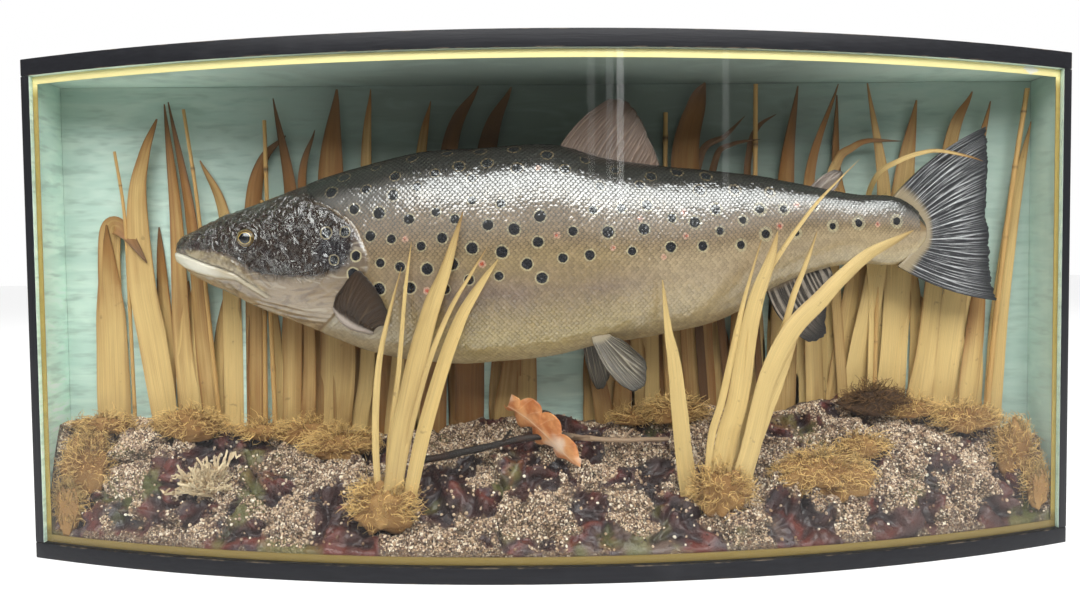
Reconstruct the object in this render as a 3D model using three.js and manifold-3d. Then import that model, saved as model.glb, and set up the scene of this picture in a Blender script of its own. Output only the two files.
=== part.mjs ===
// A preserved brown trout in a shallow display case with a bowed glass front, set over painted
// rockwork with dried reeds, moss, lichen, a twig and an oak leaf.
// Millimetres, +Z up. The origin is under the middle of the case, on the surface it stands on.
// The glass faces -Y. The fish swims towards -X, so its own left flank is the one behind the glass.

import * as THREE from 'three';
import { mergeVertices } from 'three/addons/utils/BufferGeometryUtils.js';
import Module from 'manifold-3d';

const wasm = await Module();
wasm.setup();

// ---------------------------------------------------------------- driving dimensions

const GAP = 0.3;
const CASE = { width: 990, height: 470, depth: 146, bow: 90, side: 10, top: 16, base: 15, back: 8 };
const GLASS = { setBack: 1.5, thickness: 3 };
const GILT = { width: 7, thickness: 0.8 };
const BOW_STEPS = 16;

const BACK_Y = CASE.depth / 2;
const FRONT_Y = -BACK_Y;
const BOW_RADIUS = (CASE.width ** 2 / 4 + CASE.bow ** 2) / (2 * CASE.bow);
const BOW_CENTRE_Y = FRONT_Y + BOW_RADIUS;
const INSIDE_X = CASE.width / 2 - CASE.side;
const FLOOR_Z = CASE.base;
const CEILING_Z = CASE.height - CASE.top;
const BACKBOARD_Y = BACK_Y - CASE.back;

// The trout: [x, back, belly, half thickness] from the snout to the rounded root of the tail fin.
const BODY = [
  [-357, 291, 283, 5], [-350, 303, 276, 13], [-335, 310, 264.5, 19], [-305, 324.5, 250, 26.5],
  [-275, 334.5, 235, 32], [-240, 346, 222, 37], [-205, 358.5, 208, 41], [-170, 367.5, 194.5, 45],
  [-120, 379, 185, 49], [-70, 381.5, 182.5, 50], [0, 384, 189.5, 49], [45, 371.5, 199.5, 46.5],
  [95, 364, 206, 41], [145, 359.5, 217, 34.5], [180, 356, 232, 29.5], [205, 352.5, 249, 25.5],
  [250, 344, 265.5, 19], [290, 337.5, 272, 14.5], [325, 335.5, 270, 11.5], [345, 326, 278, 8],
  [358, 311, 292, 4.5], [360.5, 304, 298, 3],
];
const BODY_STEPS = 25;
const BODY_SIDES = 16;
const BODY_SQUARENESS = 0.9;
const WIDEST_LEVEL = 0.52;
const SPINE_BEND = 0.00018;
const TAIL_STARTS_X = 190;

const EYE = { x: -278, z: 300, radius: 11, proud: 3.4, flank: 0.97 };

// Side-view lines of the head, as [x, z] from front to back or from top to bottom.
const GILL_EDGE = [
  [-228, 400], [-222, 336], [-207, 330], [-189, 319], [-175, 303], [-166, 286], [-165, 270],
  [-173, 257], [-184, 244], [-199, 228], [-208, 160],
];
const GILL_COVER_FRONT = [
  [-226, 334], [-220, 319], [-211, 296], [-206, 276], [-209, 261], [-219, 248], [-236, 240],
  [-247, 237], [-232, 227], [-205, 224],
];
const MOUTH_LINE = [
  [-400, 286], [-349, 286], [-328, 279], [-309, 274], [-290, 262], [-271, 251], [-262, 245],
];
const JAW_PLATE_TOP = [[-336, 290], [-316, 287], [-302, 282], [-288, 273], [-274, 262], [-262, 249]];
const MOUTH_SLIT = 0.9;
const GILL_COVER_DEPTH = 24;
const JAW_PLATE_DEPTH = 0.55;

const GROUND = { frontZ: 24, rise: 0.75, lump: 6, columns: 27, rows: 4, backY: 45.7 };
const BANK = { frontY: 46, backY: 64.7, columns: 5 };
const BANK_LINE = [
  [-486, 122], [-400, 126], [-300, 115], [-130, 108], [-30, 126], [45, 117], [150, 133],
  [210, 124], [305, 141], [380, 122], [486, 98],
];

const REED = { thickness: 0.9, root: 28, backRowY: 62.5, rowStep: 3.2 };

// ---------------------------------------------------------------- small tools

const vec = (x, y, z) => new THREE.Vector3(x, y, z);
const lerp = THREE.MathUtils.lerp;

// A smooth curve through [x, value] pairs, with the slope at each taken from its neighbours.
function through(pairs) {
  const slope = pairs.map((pair, i) => {
    const before = pairs[Math.max(i - 1, 0)];
    const after = pairs[Math.min(i + 1, pairs.length - 1)];
    return (after[1] - before[1]) / (after[0] - before[0]);
  });
  return (x) => {
    let i = 0;
    while (i < pairs.length - 2 && x > pairs[i + 1][0]) i += 1;
    const [x0, v0] = pairs[i];
    const [x1, v1] = pairs[i + 1];
    const span = x1 - x0;
    const t = THREE.MathUtils.clamp((x - x0) / span, 0, 1);
    const rise = (slope[i] * (1 - t) ** 2 * t - slope[i + 1] * (1 - t) * t ** 2) * span;
    return v0 + (v1 - v0) * t * t * (3 - 2 * t) + rise;
  };
}

const wholeColumn = (column) => through(BODY.map((row) => [row[0], row[column]]));
const backLine = wholeColumn(1);
const bellyLine = wholeColumn(2);
const halfThickness = wholeColumn(3);
const bankLine = through(BANK_LINE);

function bowY(x, setBack = 0) {
  return BOW_CENTRE_Y - Math.sqrt((BOW_RADIUS - setBack) ** 2 - x * x);
}

function spineY(x) {
  return SPINE_BEND * x * x;
}

// Joins even-sided rings of points into one closed skin. Each end is closed by strips between
// the ring's two halves, so a flat or bent ring closes without crossing itself.
function loft(rings) {
  const sides = rings[0].length;
  const positions = rings.flat().flatMap((p) => [p.x, p.y, p.z]);
  const index = [];
  const last = (rings.length - 1) * sides;
  for (let r = 0; r < rings.length - 1; r += 1) {
    for (let k = 0; k < sides; k += 1) {
      const a = r * sides + k;
      const b = r * sides + ((k + 1) % sides);
      index.push(a, b, a + sides, b, b + sides, a + sides);
    }
  }
  for (let k = 0; k < sides / 2 - 1; k += 1) {
    const [a, b, c, d] = [k, k + 1, sides - 2 - k, sides - 1 - k];
    index.push(a, d, b, b, d, c);
    index.push(last + a, last + b, last + d, last + b, last + c, last + d);
  }
  const geometry = new THREE.BufferGeometry();
  geometry.setAttribute('position', new THREE.Float32BufferAttribute(positions, 3));
  geometry.setIndex(index);
  return geometry;
}

function signedVolume(geometry) {
  const p = geometry.attributes.position;
  const index = geometry.index;
  const [a, b, c] = [vec(), vec(), vec()];
  let sum = 0;
  for (let i = 0; i < index.count; i += 3) {
    a.fromBufferAttribute(p, index.getX(i));
    b.fromBufferAttribute(p, index.getX(i + 1));
    c.fromBufferAttribute(p, index.getX(i + 2));
    sum += a.dot(b.cross(c));
  }
  return sum / 6;
}

// Merges a geometry's shared points and turns it into a solid that can be cut and joined.
function solid(source) {
  const bare = source.clone();
  bare.deleteAttribute('normal');
  bare.deleteAttribute('uv');
  const merged = mergeVertices(bare, 1e-4);
  const triVerts = Uint32Array.from(merged.index.array);
  if (signedVolume(merged) < 0) {
    for (let i = 0; i < triVerts.length; i += 3) {
      [triVerts[i], triVerts[i + 1]] = [triVerts[i + 1], triVerts[i]];
    }
  }
  const vertProperties = Float32Array.from(merged.attributes.position.array);
  return new wasm.Manifold(new wasm.Mesh({ numProp: 3, vertProperties, triVerts }));
}

function geometryOf(body) {
  const mesh = body.getMesh();
  const geometry = new THREE.BufferGeometry();
  geometry.setAttribute('position', new THREE.Float32BufferAttribute(mesh.vertProperties, 3));
  geometry.setIndex(Array.from(mesh.triVerts));
  geometry.computeVertexNormals();
  return geometry;
}

const joined = (solids) => solids.reduce((sum, next) => sum.add(next));

function polygon(points) {
  return new THREE.Shape(points.map(([a, b]) => new THREE.Vector2(a, b)));
}

// An [x, y] outline raised from one level to another.
function raised(outline, fromZ, toZ) {
  const options = { depth: toZ - fromZ, bevelEnabled: false };
  return solid(new THREE.ExtrudeGeometry(polygon(outline), options).translate(0, 0, fromZ));
}

// An [x, z] outline pushed right through the case from front to back.
function cutThrough(outline) {
  const depth = 2 * CASE.depth;
  const geometry = new THREE.ExtrudeGeometry(polygon(outline), { depth, bevelEnabled: false });
  return solid(geometry.rotateX(Math.PI / 2).translate(0, depth / 2, 0));
}

function block(fromX, toX, fromY, toY, fromZ, toZ) {
  const geometry = new THREE.BoxGeometry(toX - fromX, toY - fromY, toZ - fromZ);
  return solid(geometry.translate((fromX + toX) / 2, (fromY + toY) / 2, (fromZ + toZ) / 2));
}

// A thin sheet over point(u, v), u and v from 0 to 1, with its thickness shared by both faces.
function sheet(columns, rows, point, thickness) {
  const step = 0.02;
  const rings = [];
  for (let i = 0; i <= columns; i += 1) {
    const u = i / columns;
    const front = [];
    const behind = [];
    for (let j = 0; j <= rows; j += 1) {
      const v = j / rows;
      const alongU = point(Math.min(u + step, 1), v).sub(point(Math.max(u - step, 0), v));
      const alongV = point(u, Math.min(v + step, 1)).sub(point(u, Math.max(v - step, 0)));
      const normal = alongU.cross(alongV).normalize().multiplyScalar(thickness(u, v) / 2);
      front.push(point(u, v).add(normal));
      behind.unshift(point(u, v).sub(normal));
    }
    rings.push([...front, ...behind]);
  }
  return solid(loft(rings));
}

// ---------------------------------------------------------------- materials

function finish(color, roughness, metalness = 0) {
  return new THREE.MeshStandardMaterial({ color, roughness, metalness });
}

const WOOD = finish('#1c1d22', 0.55);
const BACKBOARD = finish('#9cc4bc', 0.85);
const CLEAR = finish('#e8f0ee', 0.05);
CLEAR.transparent = true;
CLEAR.opacity = 0.2;
const GOLD = finish('#c0983f', 0.35, 0.6);
const SKIN = finish('#7d6c49', 0.3);
const HEAD_SKIN = finish('#4a423c', 0.25);
const JAW_SKIN = finish('#d8cdb4', 0.35);
const FIN = finish('#4b4238', 0.45);
const TAIL_FIN = finish('#32353b', 0.45);
const EYE_GLASS = finish('#2a1d0c', 0.05);
const ROCK = finish('#6b4a48', 0.8);
const REEDS = finish('#c4a168', 0.7);
const MOSS = finish('#a07c3c', 0.95);
const LICHEN = finish('#d9cba6', 0.95);
const TWIG = finish('#8a7256', 0.85);
const OAK = finish('#9a5a34', 0.75);

const group = new THREE.Group();

function add(name, body, material) {
  const mesh = new THREE.Mesh(geometryOf(body), material);
  mesh.name = name;
  group.add(mesh);
}

// ---------------------------------------------------------------- the case

// The plan of a board or pane whose front follows the bow.
function bowedOutline(halfWidth, setBack, backEdge) {
  const front = [];
  for (let i = 0; i <= BOW_STEPS; i += 1) {
    const x = lerp(-halfWidth, halfWidth, i / BOW_STEPS);
    front.push([x, bowY(x, setBack)]);
  }
  const back = [...front].reverse().map(([x]) => [x, backEdge(x)]);
  return [...front, ...back];
}

function buildCase() {
  const half = CASE.width / 2;
  const board = bowedOutline(half, 0, () => BACK_Y);
  const [lowZ, highZ] = [FLOOR_Z + GAP, CEILING_Z - GAP];
  add('case_base', raised(board, 0, FLOOR_Z), WOOD);
  add('case_top', raised(board, CEILING_Z, CASE.height), WOOD);
  for (const [name, side] of [['case_side_left', -1], ['case_side_right', 1]]) {
    const outline = [
      [side * half, bowY(half)], [side * INSIDE_X, bowY(INSIDE_X)],
      [side * INSIDE_X, BACK_Y], [side * half, BACK_Y],
    ];
    add(name, raised(outline, lowZ, highZ), WOOD);
  }
  const inside = INSIDE_X - GAP;
  add('case_back', block(-inside, inside, BACKBOARD_Y, BACK_Y, lowZ, highZ), BACKBOARD);
  const behindGlass = GLASS.setBack + GLASS.thickness;
  const pane = bowedOutline(inside, GLASS.setBack, (x) => bowY(x, behindGlass));
  add('glass_front', raised(pane, lowZ, highZ), CLEAR);
}

// The gilt slip that lies against the back of the glass, all round its edge.
function buildGilt() {
  const inside = INSIDE_X - GAP;
  const frontSet = GLASS.setBack + GLASS.thickness + GAP;
  const backSet = frontSet + GILT.thickness;
  const [lowZ, highZ] = [FLOOR_Z + GAP, CEILING_Z - GAP];
  const strip = bowedOutline(inside, frontSet, (x) => bowY(x, backSet));
  add('gilt_bottom', raised(strip, lowZ, lowZ + GILT.width), GOLD);
  add('gilt_top', raised(strip, highZ - GILT.width, highZ), GOLD);
  for (const [name, side] of [['gilt_left', -1], ['gilt_right', 1]]) {
    const inner = inside - GILT.width;
    const outline = [
      [side * inside, bowY(inside, frontSet)], [side * inner, bowY(inner, frontSet)],
      [side * inner, bowY(inner, backSet)], [side * inside, bowY(inside, backSet)],
    ];
    add(name, raised(outline, lowZ + GILT.width + GAP, highZ - GILT.width - GAP), GOLD);
  }
}

// ---------------------------------------------------------------- the trout

// The whole body as one solid, grown all over by a clearance when it is used as a cutter.
function wholeBody(grown = 0) {
  const first = BODY[0][0] - grown;
  const length = BODY[BODY.length - 1][0] + grown - first;
  const rings = [];
  for (let i = 0; i <= BODY_STEPS; i += 1) {
    const even = i / BODY_STEPS;
    const x = first + length * (even - 0.09 * Math.sin(2 * Math.PI * even));
    const top = backLine(x) + grown;
    const bottom = bellyLine(x) - grown;
    const half = halfThickness(x) + grown;
    const level = lerp(bottom, top, WIDEST_LEVEL);
    const ring = [];
    for (let k = 0; k < BODY_SIDES; k += 1) {
      const angle = (2 * Math.PI * (k + 0.5)) / BODY_SIDES;
      const up = Math.sign(Math.cos(angle)) * Math.abs(Math.cos(angle)) ** BODY_SQUARENESS;
      const out = Math.sign(Math.sin(angle)) * Math.abs(Math.sin(angle)) ** BODY_SQUARENESS;
      const reach = up > 0 ? top - level : level - bottom;
      ring.push(vec(x, spineY(x) + half * out, level + reach * up));
    }
    rings.push(ring);
  }
  return solid(loft(rings));
}

// Everything on one side of the fish's middle beyond a given depth, following the bent spine.
function flankBeyond(side, depthAt) {
  const outline = [];
  for (let x = BODY[0][0] - 10; x <= -130; x += 18) {
    outline.push([x, spineY(x) + side * depthAt(x)]);
  }
  outline.push([-130, side * CASE.depth], [BODY[0][0] - 10, side * CASE.depth]);
  return raised(outline, 0, CASE.height);
}

const moved = (line, dx, dz) => line.map(([x, z]) => [x + dx, z + dz]);

// The cut that leaves a gap all round a plate of this [x, z] outline.
function roomFor(outline) {
  const shifts = [[0, 0], [GAP, GAP], [-GAP, GAP], [GAP, -GAP], [-GAP, -GAP]];
  return joined(shifts.map(([dx, dz]) => cutThrough(moved(outline, dx, dz))));
}

function buildBody() {
  const whole = wholeBody();
  const headOutline = (dx) => [[-400, 400], ...moved(GILL_EDGE, dx, 0), [-400, 160]];
  const tailOutline = (x) => [[x, 100], [500, 100], [500, 450], [x, 450]];
  add('tail', whole.intersect(cutThrough(tailOutline(TAIL_STARTS_X))), SKIN);
  const fore = whole.subtract(cutThrough(tailOutline(TAIL_STARTS_X - GAP)));
  add('trunk', fore.subtract(cutThrough(headOutline(1.5 * GAP))), SKIN);
  let head = fore.intersect(cutThrough(headOutline(0)));

  const jawOutline = (dx, dz) => [...moved(MOUTH_LINE, dx, dz), [-262 + dx, 150], [-400, 150]];
  add('lower_jaw', head.intersect(cutThrough(jawOutline(0, 0))), JAW_SKIN);
  head = head.subtract(cutThrough(jawOutline(GAP, MOUTH_SLIT)));

  const eyeY = halfThickness(EYE.x) * EYE.flank + EYE.proud - EYE.radius;
  const coverOutline = [...GILL_COVER_FRONT, ...[...GILL_EDGE].slice(1, -1).reverse()];
  const jawPlate = [...JAW_PLATE_TOP, ...moved(MOUTH_LINE, 0, MOUTH_SLIT).slice(2).reverse()];
  for (const [name, side] of [['left', -1], ['right', 1]]) {
    const nearSurface = flankBeyond(side, () => GILL_COVER_DEPTH);
    const cover = cutThrough(coverOutline).intersect(nearSurface);
    const coverRoom = roomFor(coverOutline).intersect(flankBeyond(side, () => GILL_COVER_DEPTH - GAP));
    const plateDepth = (x) => halfThickness(x) * JAW_PLATE_DEPTH;
    const plate = cutThrough(jawPlate).intersect(flankBeyond(side, plateDepth));
    const plateRoom = roomFor(jawPlate).intersect(flankBeyond(side, (x) => plateDepth(x) - GAP));
    const ball = (radius) => {
      const geometry = new THREE.SphereGeometry(radius, 12, 8);
      return solid(geometry.rotateX(Math.PI / 2).translate(EYE.x, spineY(EYE.x) + side * eyeY, EYE.z));
    };
    add(`gill_cover_${name}`, head.intersect(cover), HEAD_SKIN);
    add(`upper_jaw_${name}`, head.intersect(plate), JAW_SKIN);
    add(`eye_${name}`, ball(EYE.radius), EYE_GLASS);
    head = head.subtract(coverRoom).subtract(plateRoom).subtract(ball(EYE.radius + GAP));
  }
  add('head', head, HEAD_SKIN);
}

// A fin over a root line and a tip line, each of [x, z] points, whose rays may bow sideways.
// depth(u, v) is its distance from the middle plane of the fish.
function fin({ root, tip, bow, depth, rootThickness, tipThickness, columns = 7, rows = 3 }) {
  const curve = (points) => new THREE.SplineCurve(points.map(([x, z]) => new THREE.Vector2(x, z)));
  const [rootCurve, tipCurve] = [curve(root), curve(tip)];
  const point = (u, v) => {
    const start = rootCurve.getPoint(u);
    const end = tipCurve.getPoint(u);
    const swing = lerp(bow[0], bow[1], u) * 4 * v * (1 - v);
    const along = end.clone().sub(start);
    const length = Math.max(along.length(), 1);
    const x = start.x + along.x * v - (along.y / length) * swing;
    const z = start.y + along.y * v + (along.x / length) * swing;
    return vec(x, spineY(x) + depth(u, v), z);
  };
  return sheet(columns, rows, point, (u, v) => lerp(rootThickness, tipThickness, v ** 0.6));
}

function buildFins() {
  const body = wholeBody(GAP);
  const fins = {
    dorsal_fin: {
      root: [[2, 374], [45, 366], [93, 357]],
      tip: [[56, 427.5], [70, 426], [79, 415], [88, 396], [99, 366]],
      bow: [6, -2], depth: (u, v) => 3 * Math.sin(4 * u) * v, rootThickness: 5, tipThickness: 1,
    },
    adipose_fin: {
      root: [[240, 340], [250, 338], [260, 336]],
      tip: [[268, 361], [275, 359], [274, 352]],
      bow: [3, -1.5], depth: () => 0, rootThickness: 4, tipThickness: 1.6, columns: 4, rows: 2,
    },
    anal_fin: {
      root: [[199, 255], [230, 266], [258, 273]],
      tip: [[243, 197], [257, 201], [259, 218], [261, 240], [265, 259]],
      bow: [-9, 2], depth: (u, v) => -4 * v * (1 - u), rootThickness: 5, tipThickness: 1,
    },
    pelvic_fin_left: {
      root: [[33, 208], [41, 209], [49, 209]],
      tip: [[61, 164], [72, 160], [80, 167], [80, 186], [68, 198]],
      bow: [-5, 2], depth: (u, v) => -24 - 20 * v, rootThickness: 5, tipThickness: 1,
    },
    pelvic_fin_right: {
      root: [[28, 206], [38, 207], [48, 207]],
      tip: [[38, 160], [44, 150], [51, 154], [57, 170], [62, 190]],
      bow: [-2, 2], depth: (u, v) => 24 + 12 * v, rootThickness: 5, tipThickness: 1,
    },
    caudal_fin: {
      root: [[325, 334], [341, 325], [354, 313], [357, 301], [353, 289], [341, 280], [329, 269]],
      tip: [[424, 404.5], [427, 385], [427, 350], [425, 318], [427, 285], [427, 258], [436, 234]],
      bow: [7, -6], depth: (u) => 3 * Math.sin(5 * u), rootThickness: 7, tipThickness: 1,
      columns: 10, rows: 3,
    },
  };
  for (const [name, shape] of Object.entries(fins)) {
    const material = name === 'caudal_fin' ? TAIL_FIN : FIN;
    add(name, fin(shape).subtract(body), material);
  }
  for (const [name, side, spread] of [['pectoral_fin_left', -1, 10], ['pectoral_fin_right', 1, 8]]) {
    const shape = {
      root: [[-196, 236], [-190, 225], [-180, 218], [-163, 214]],
      tip: [[-187, 251], [-181, 263], [-171, 270.5], [-158, 258], [-147, 236], [-147, 221]],
      bow: [3, 3], depth: (u, v) => side * (36 - 6 * u + spread * v ** 0.5),
      rootThickness: 7, tipThickness: 1,
    };
    add(name, fin(shape).subtract(body), FIN);
  }
}

// The wooden block that carries the fish from the backboard, hidden by the fish.
function buildMountBlock() {
  const blank = block(-18, 18, 40, BACKBOARD_Y - GAP, 300, 360);
  add('mount_block', blank.subtract(wholeBody(GAP)), WOOD);
}

// ---------------------------------------------------------------- rockwork

function groundFrontY(x) {
  return bowY(x, GLASS.setBack + GLASS.thickness + GILT.thickness + 3 * GAP);
}

function groundZ(x, y) {
  const front = groundFrontY(x);
  const v = THREE.MathUtils.clamp((y - front) / (BANK.backY - front), 0, 1);
  const lumps = Math.sin(x / 17 + 2.1 * Math.sin(y / 23)) * Math.sin(y / 13 + x / 41)
    + 0.6 * Math.sin(x / 9.5 + y / 11);
  return lerp(GROUND.frontZ, bankLine(x), v ** GROUND.rise) + GROUND.lump * lumps * Math.sin(Math.PI * v);
}

// A strip of ground between two front-to-back lines, resting just above the base board.
function groundBody(fromX, toX, frontEdge, backEdge, columns, rows, lift = 0) {
  const rings = [];
  for (let i = 0; i <= columns; i += 1) {
    const x = lerp(fromX, toX, i / columns);
    const top = [];
    const under = [];
    for (let j = 0; j <= rows; j += 1) {
      const y = lerp(frontEdge(x), backEdge, j / rows);
      top.push(vec(x, y, groundZ(x, y) + lift));
      under.unshift(vec(x, y, FLOOR_Z + GAP));
    }
    rings.push([...top, ...under]);
  }
  return solid(loft(rings));
}

function groundFront(lift = 0) {
  const half = INSIDE_X - GAP;
  return groundBody(-half, half, groundFrontY, GROUND.backY, GROUND.columns, GROUND.rows, lift);
}

// ---------------------------------------------------------------- reeds

// A dried blade or stem along a curve, flat towards the glass.
function reed({ line, width, isStem }) {
  const path = new THREE.CatmullRomCurve3(line.map((p) => vec(...p)), false, 'centripetal');
  const thickness = isStem ? width * 0.5 : REED.thickness;
  const steps = isStem ? 2 : Math.max(3, line.length - 2);
  const rings = [];
  for (let i = 0; i <= steps; i += 1) {
    const t = i / steps;
    const centre = path.getPoint(t);
    const tangent = path.getTangent(t);
    const share = isStem ? 1 - 0.3 * t : (1 - t ** 2.2) * (0.85 + 0.5 * t) + 0.05;
    const across = vec(tangent.z, 0, -tangent.x).normalize().multiplyScalar((share * width) / 2);
    const through = vec(0, thickness / 2, 0);
    rings.push([
      centre.clone().sub(across).sub(through), centre.clone().add(across).sub(through),
      centre.clone().add(across).add(through), centre.clone().sub(across).add(through),
    ]);
  }
  return solid(loft(rings));
}

// A reed of the back rows: its [x, z] line starts at the bank and its top leans towards the glass.
function backReed(width, row, lean, points, isStem = false) {
  const rowY = REED.backRowY - REED.rowStep * row;
  const [[startX, startZ]] = points;
  const rooted = [[startX, startZ - REED.root], ...points];
  const line = rooted.map(([x, z], i) => [x, rowY - lean * (i / points.length) ** 2, z]);
  return reed({ line, width, isStem });
}

const stem = (width, row, lean, points) => backReed(width, row, lean, points, true);

const BANKS = [
  {
    name: 'reed_bank_1', fromX: -INSIDE_X + GAP, toX: -310,
    reeds: () => [
      backReed(30, 1, 3, [[-438, 124], [-438, 214], [-439, 270], [-439, 318]]),
      backReed(22, 1, 8, [[-439, 250], [-437, 300], [-432, 317], [-417, 307], [-398, 280]]),
      stem(5, 2, 4, [[-416, 119], [-418, 243], [-420, 328], [-427, 389]]),
      backReed(27, 2, 6, [
        [-386, 128], [-396, 203], [-405, 263], [-407, 342], [-398, 386], [-384, 420],
      ]),
      backReed(20, 0, 4, [[-363, 128], [-369, 203], [-372, 327], [-380, 436]]),
      backReed(19, 1, 6, [[-341, 123], [-348, 203], [-357, 327], [-374, 437]]),
      stem(6, 2, 6, [[-332, 117], [-335, 161], [-342, 253], [-348, 342], [-358, 429]]),
      backReed(19, 0, 0, [[-320, 117], [-320, 242], [-326, 330], [-348, 381]]),
    ],
  },
  {
    name: 'reed_bank_2', fromX: -310 + GAP, toX: -100,
    reeds: () => [
      backReed(19, 0, 6, [[-300, 122], [-298, 242], [-296, 334], [-285, 380], [-261, 404]]),
      stem(7, 1, 2, [[-288, 117], [-286, 242], [-286, 341]]),
      stem(7, 2, 5, [[-277, 117], [-279, 242], [-280, 418]]),
      backReed(20, 0, 8, [[-262, 122], [-258, 242], [-258, 348], [-272, 440]]),
      backReed(15, 1, 4, [[-245, 121], [-242, 202], [-246, 355], [-232, 409]]),
      backReed(40, 0, 10, [[-220, 121], [-214, 191], [-217, 360], [-209, 448]]),
      backReed(17, 1, 6, [[-193, 121], [-184, 191], [-182, 378], [-176, 448]]),
      backReed(16, 0, 4, [[-161, 120], [-146, 240], [-128, 387], [-118, 437]]),
      backReed(27, 1, 12, [[-120, 120], [-112, 240], [-99, 391], [-70, 449]]),
    ],
  },
  {
    name: 'reed_bank_3', fromX: -100 + GAP, toX: 85,
    reeds: () => [
      backReed(30, 0, 10, [[-84, 124], [-80, 240], [-62, 391], [-38, 449]]),
      backReed(24, 1, 0, [[-48, 129], [-42, 179], [-31, 309]]),
      backReed(22, 0, 0, [[-27, 129], [-25, 209], [-23, 292]]),
      backReed(18, 1, 0, [[51, 128], [40, 188], [28, 279]]),
      backReed(20, 0, 0, [[70, 132], [71, 198], [69, 298]]),
    ],
  },
  {
    name: 'reed_bank_4', fromX: 85 + GAP, toX: 250,
    reeds: () => [
      backReed(15, 1, 0, [[100, 132], [100, 238], [92, 357]]),
      stem(8, 0, 4, [[116, 137], [113, 238], [115, 424]]),
      backReed(34, 1, 16, [[148, 137], [143, 237], [133, 371], [144, 430], [151, 450]]),
      backReed(28, 0, 0, [[186, 136], [190, 237], [186, 330]]),
      stem(8, 2, 8, [[194, 136], [201, 237], [202, 449]]),
      backReed(9, 2, 10, [[152, 134], [141, 310], [149, 382], [172, 399], [191, 418]]),
      backReed(8, 1, 14, [[178, 132], [160, 320], [164, 378], [179, 391], [206, 395]]),
      backReed(8, 2, 12, [[210, 126], [196, 330], [197, 386], [205, 408], [221, 419]]),
      backReed(27, 0, 10, [[232, 130], [234, 236], [234, 360], [245, 448]]),
    ],
  },
  {
    name: 'reed_bank_5', fromX: 250 + GAP, toX: INSIDE_X - GAP,
    reeds: () => [
      backReed(17, 1, 10, [[265, 130], [261, 236], [257, 358], [284, 449]]),
      backReed(25, 0, 4, [[288, 135], [300, 215], [306, 286], [287, 356], [286, 440]]),
      backReed(24, 1, 12, [[302, 135], [312, 195], [322, 245], [331, 340], [312, 449]]),
      backReed(10, 2, 10, [[292, 136], [279, 330], [285, 374], [299, 387], [314, 393], [345, 392]]),
      stem(7, 2, 0, [[324, 139], [325, 205], [330, 335]]),
      backReed(34, 0, 6, [[341, 129], [347, 205], [353, 342], [365, 434]]),
      backReed(26, 1, 8, [[368, 124], [379, 205], [397, 383], [418, 441]]),
      backReed(26, 0, 8, [[395, 128], [406, 234], [422, 355], [438, 432]]),
      backReed(22, 1, 0, [[420, 128], [429, 214], [436, 294]]),
      stem(8, 2, 8, [[437, 107], [447, 234], [460, 354], [471, 443]]),
      backReed(18, 0, 6, [[446, 112], [454, 234], [468, 344], [480, 412]]),
      reed({
        line: [[318, 55, 112], [320, 55, 235], [312, 50, 320], [314, 30, 356], [330, 17, 369],
          [350, 16, 376], [369, 17, 378], [398, 20, 373], [414, 24, 369]],
        width: 8,
      }),
    ],
  },
];

function buildBanks() {
  for (const bank of BANKS) {
    const earth = groundBody(bank.fromX, bank.toX, () => BANK.frontY, BANK.backY, BANK.columns, 2);
    add(bank.name, joined([earth, ...bank.reeds()]), REEDS);
  }
}

// ---------------------------------------------------------------- moss, tufts and litter

function mossLump([x, y, z], [rx, ry, rz]) {
  const geometry = new THREE.SphereGeometry(1, 9, 5);
  const p = geometry.attributes.position;
  for (let i = 0; i < p.count; i += 1) {
    const [px, py, pz] = [p.getX(i), p.getY(i), p.getZ(i)];
    const swell = 1 + 0.1 * Math.sin(5 * px + 3) * Math.cos(4 * py) + 0.08 * Math.sin(6 * pz + 2 * px);
    p.setXYZ(i, x + px * rx * swell, y + py * ry * swell, z + pz * rz * swell);
  }
  return solid(geometry);
}

const MOSS_LUMPS = {
  moss_corner_left: [[-447, 27, 82], [24, 14, 40]],
  moss_bank_left: [[-352, 33, 121], [38, 10, 15]],
  moss_bank_middle: [[-205, 22, 103], [40, 18, 16]],
  moss_behind_twig: [[118, 34, 128], [34, 9, 14]],
  moss_dark: [[314, 33, 136], [34, 11, 15]],
  moss_large: [[247, -12, 74], [52, 24, 26]],
  moss_bank_right: [[405, 33, 118], [34, 10, 14]],
  moss_corner_right: [[452, 32, 84], [18, 10, 36]],
};

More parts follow.
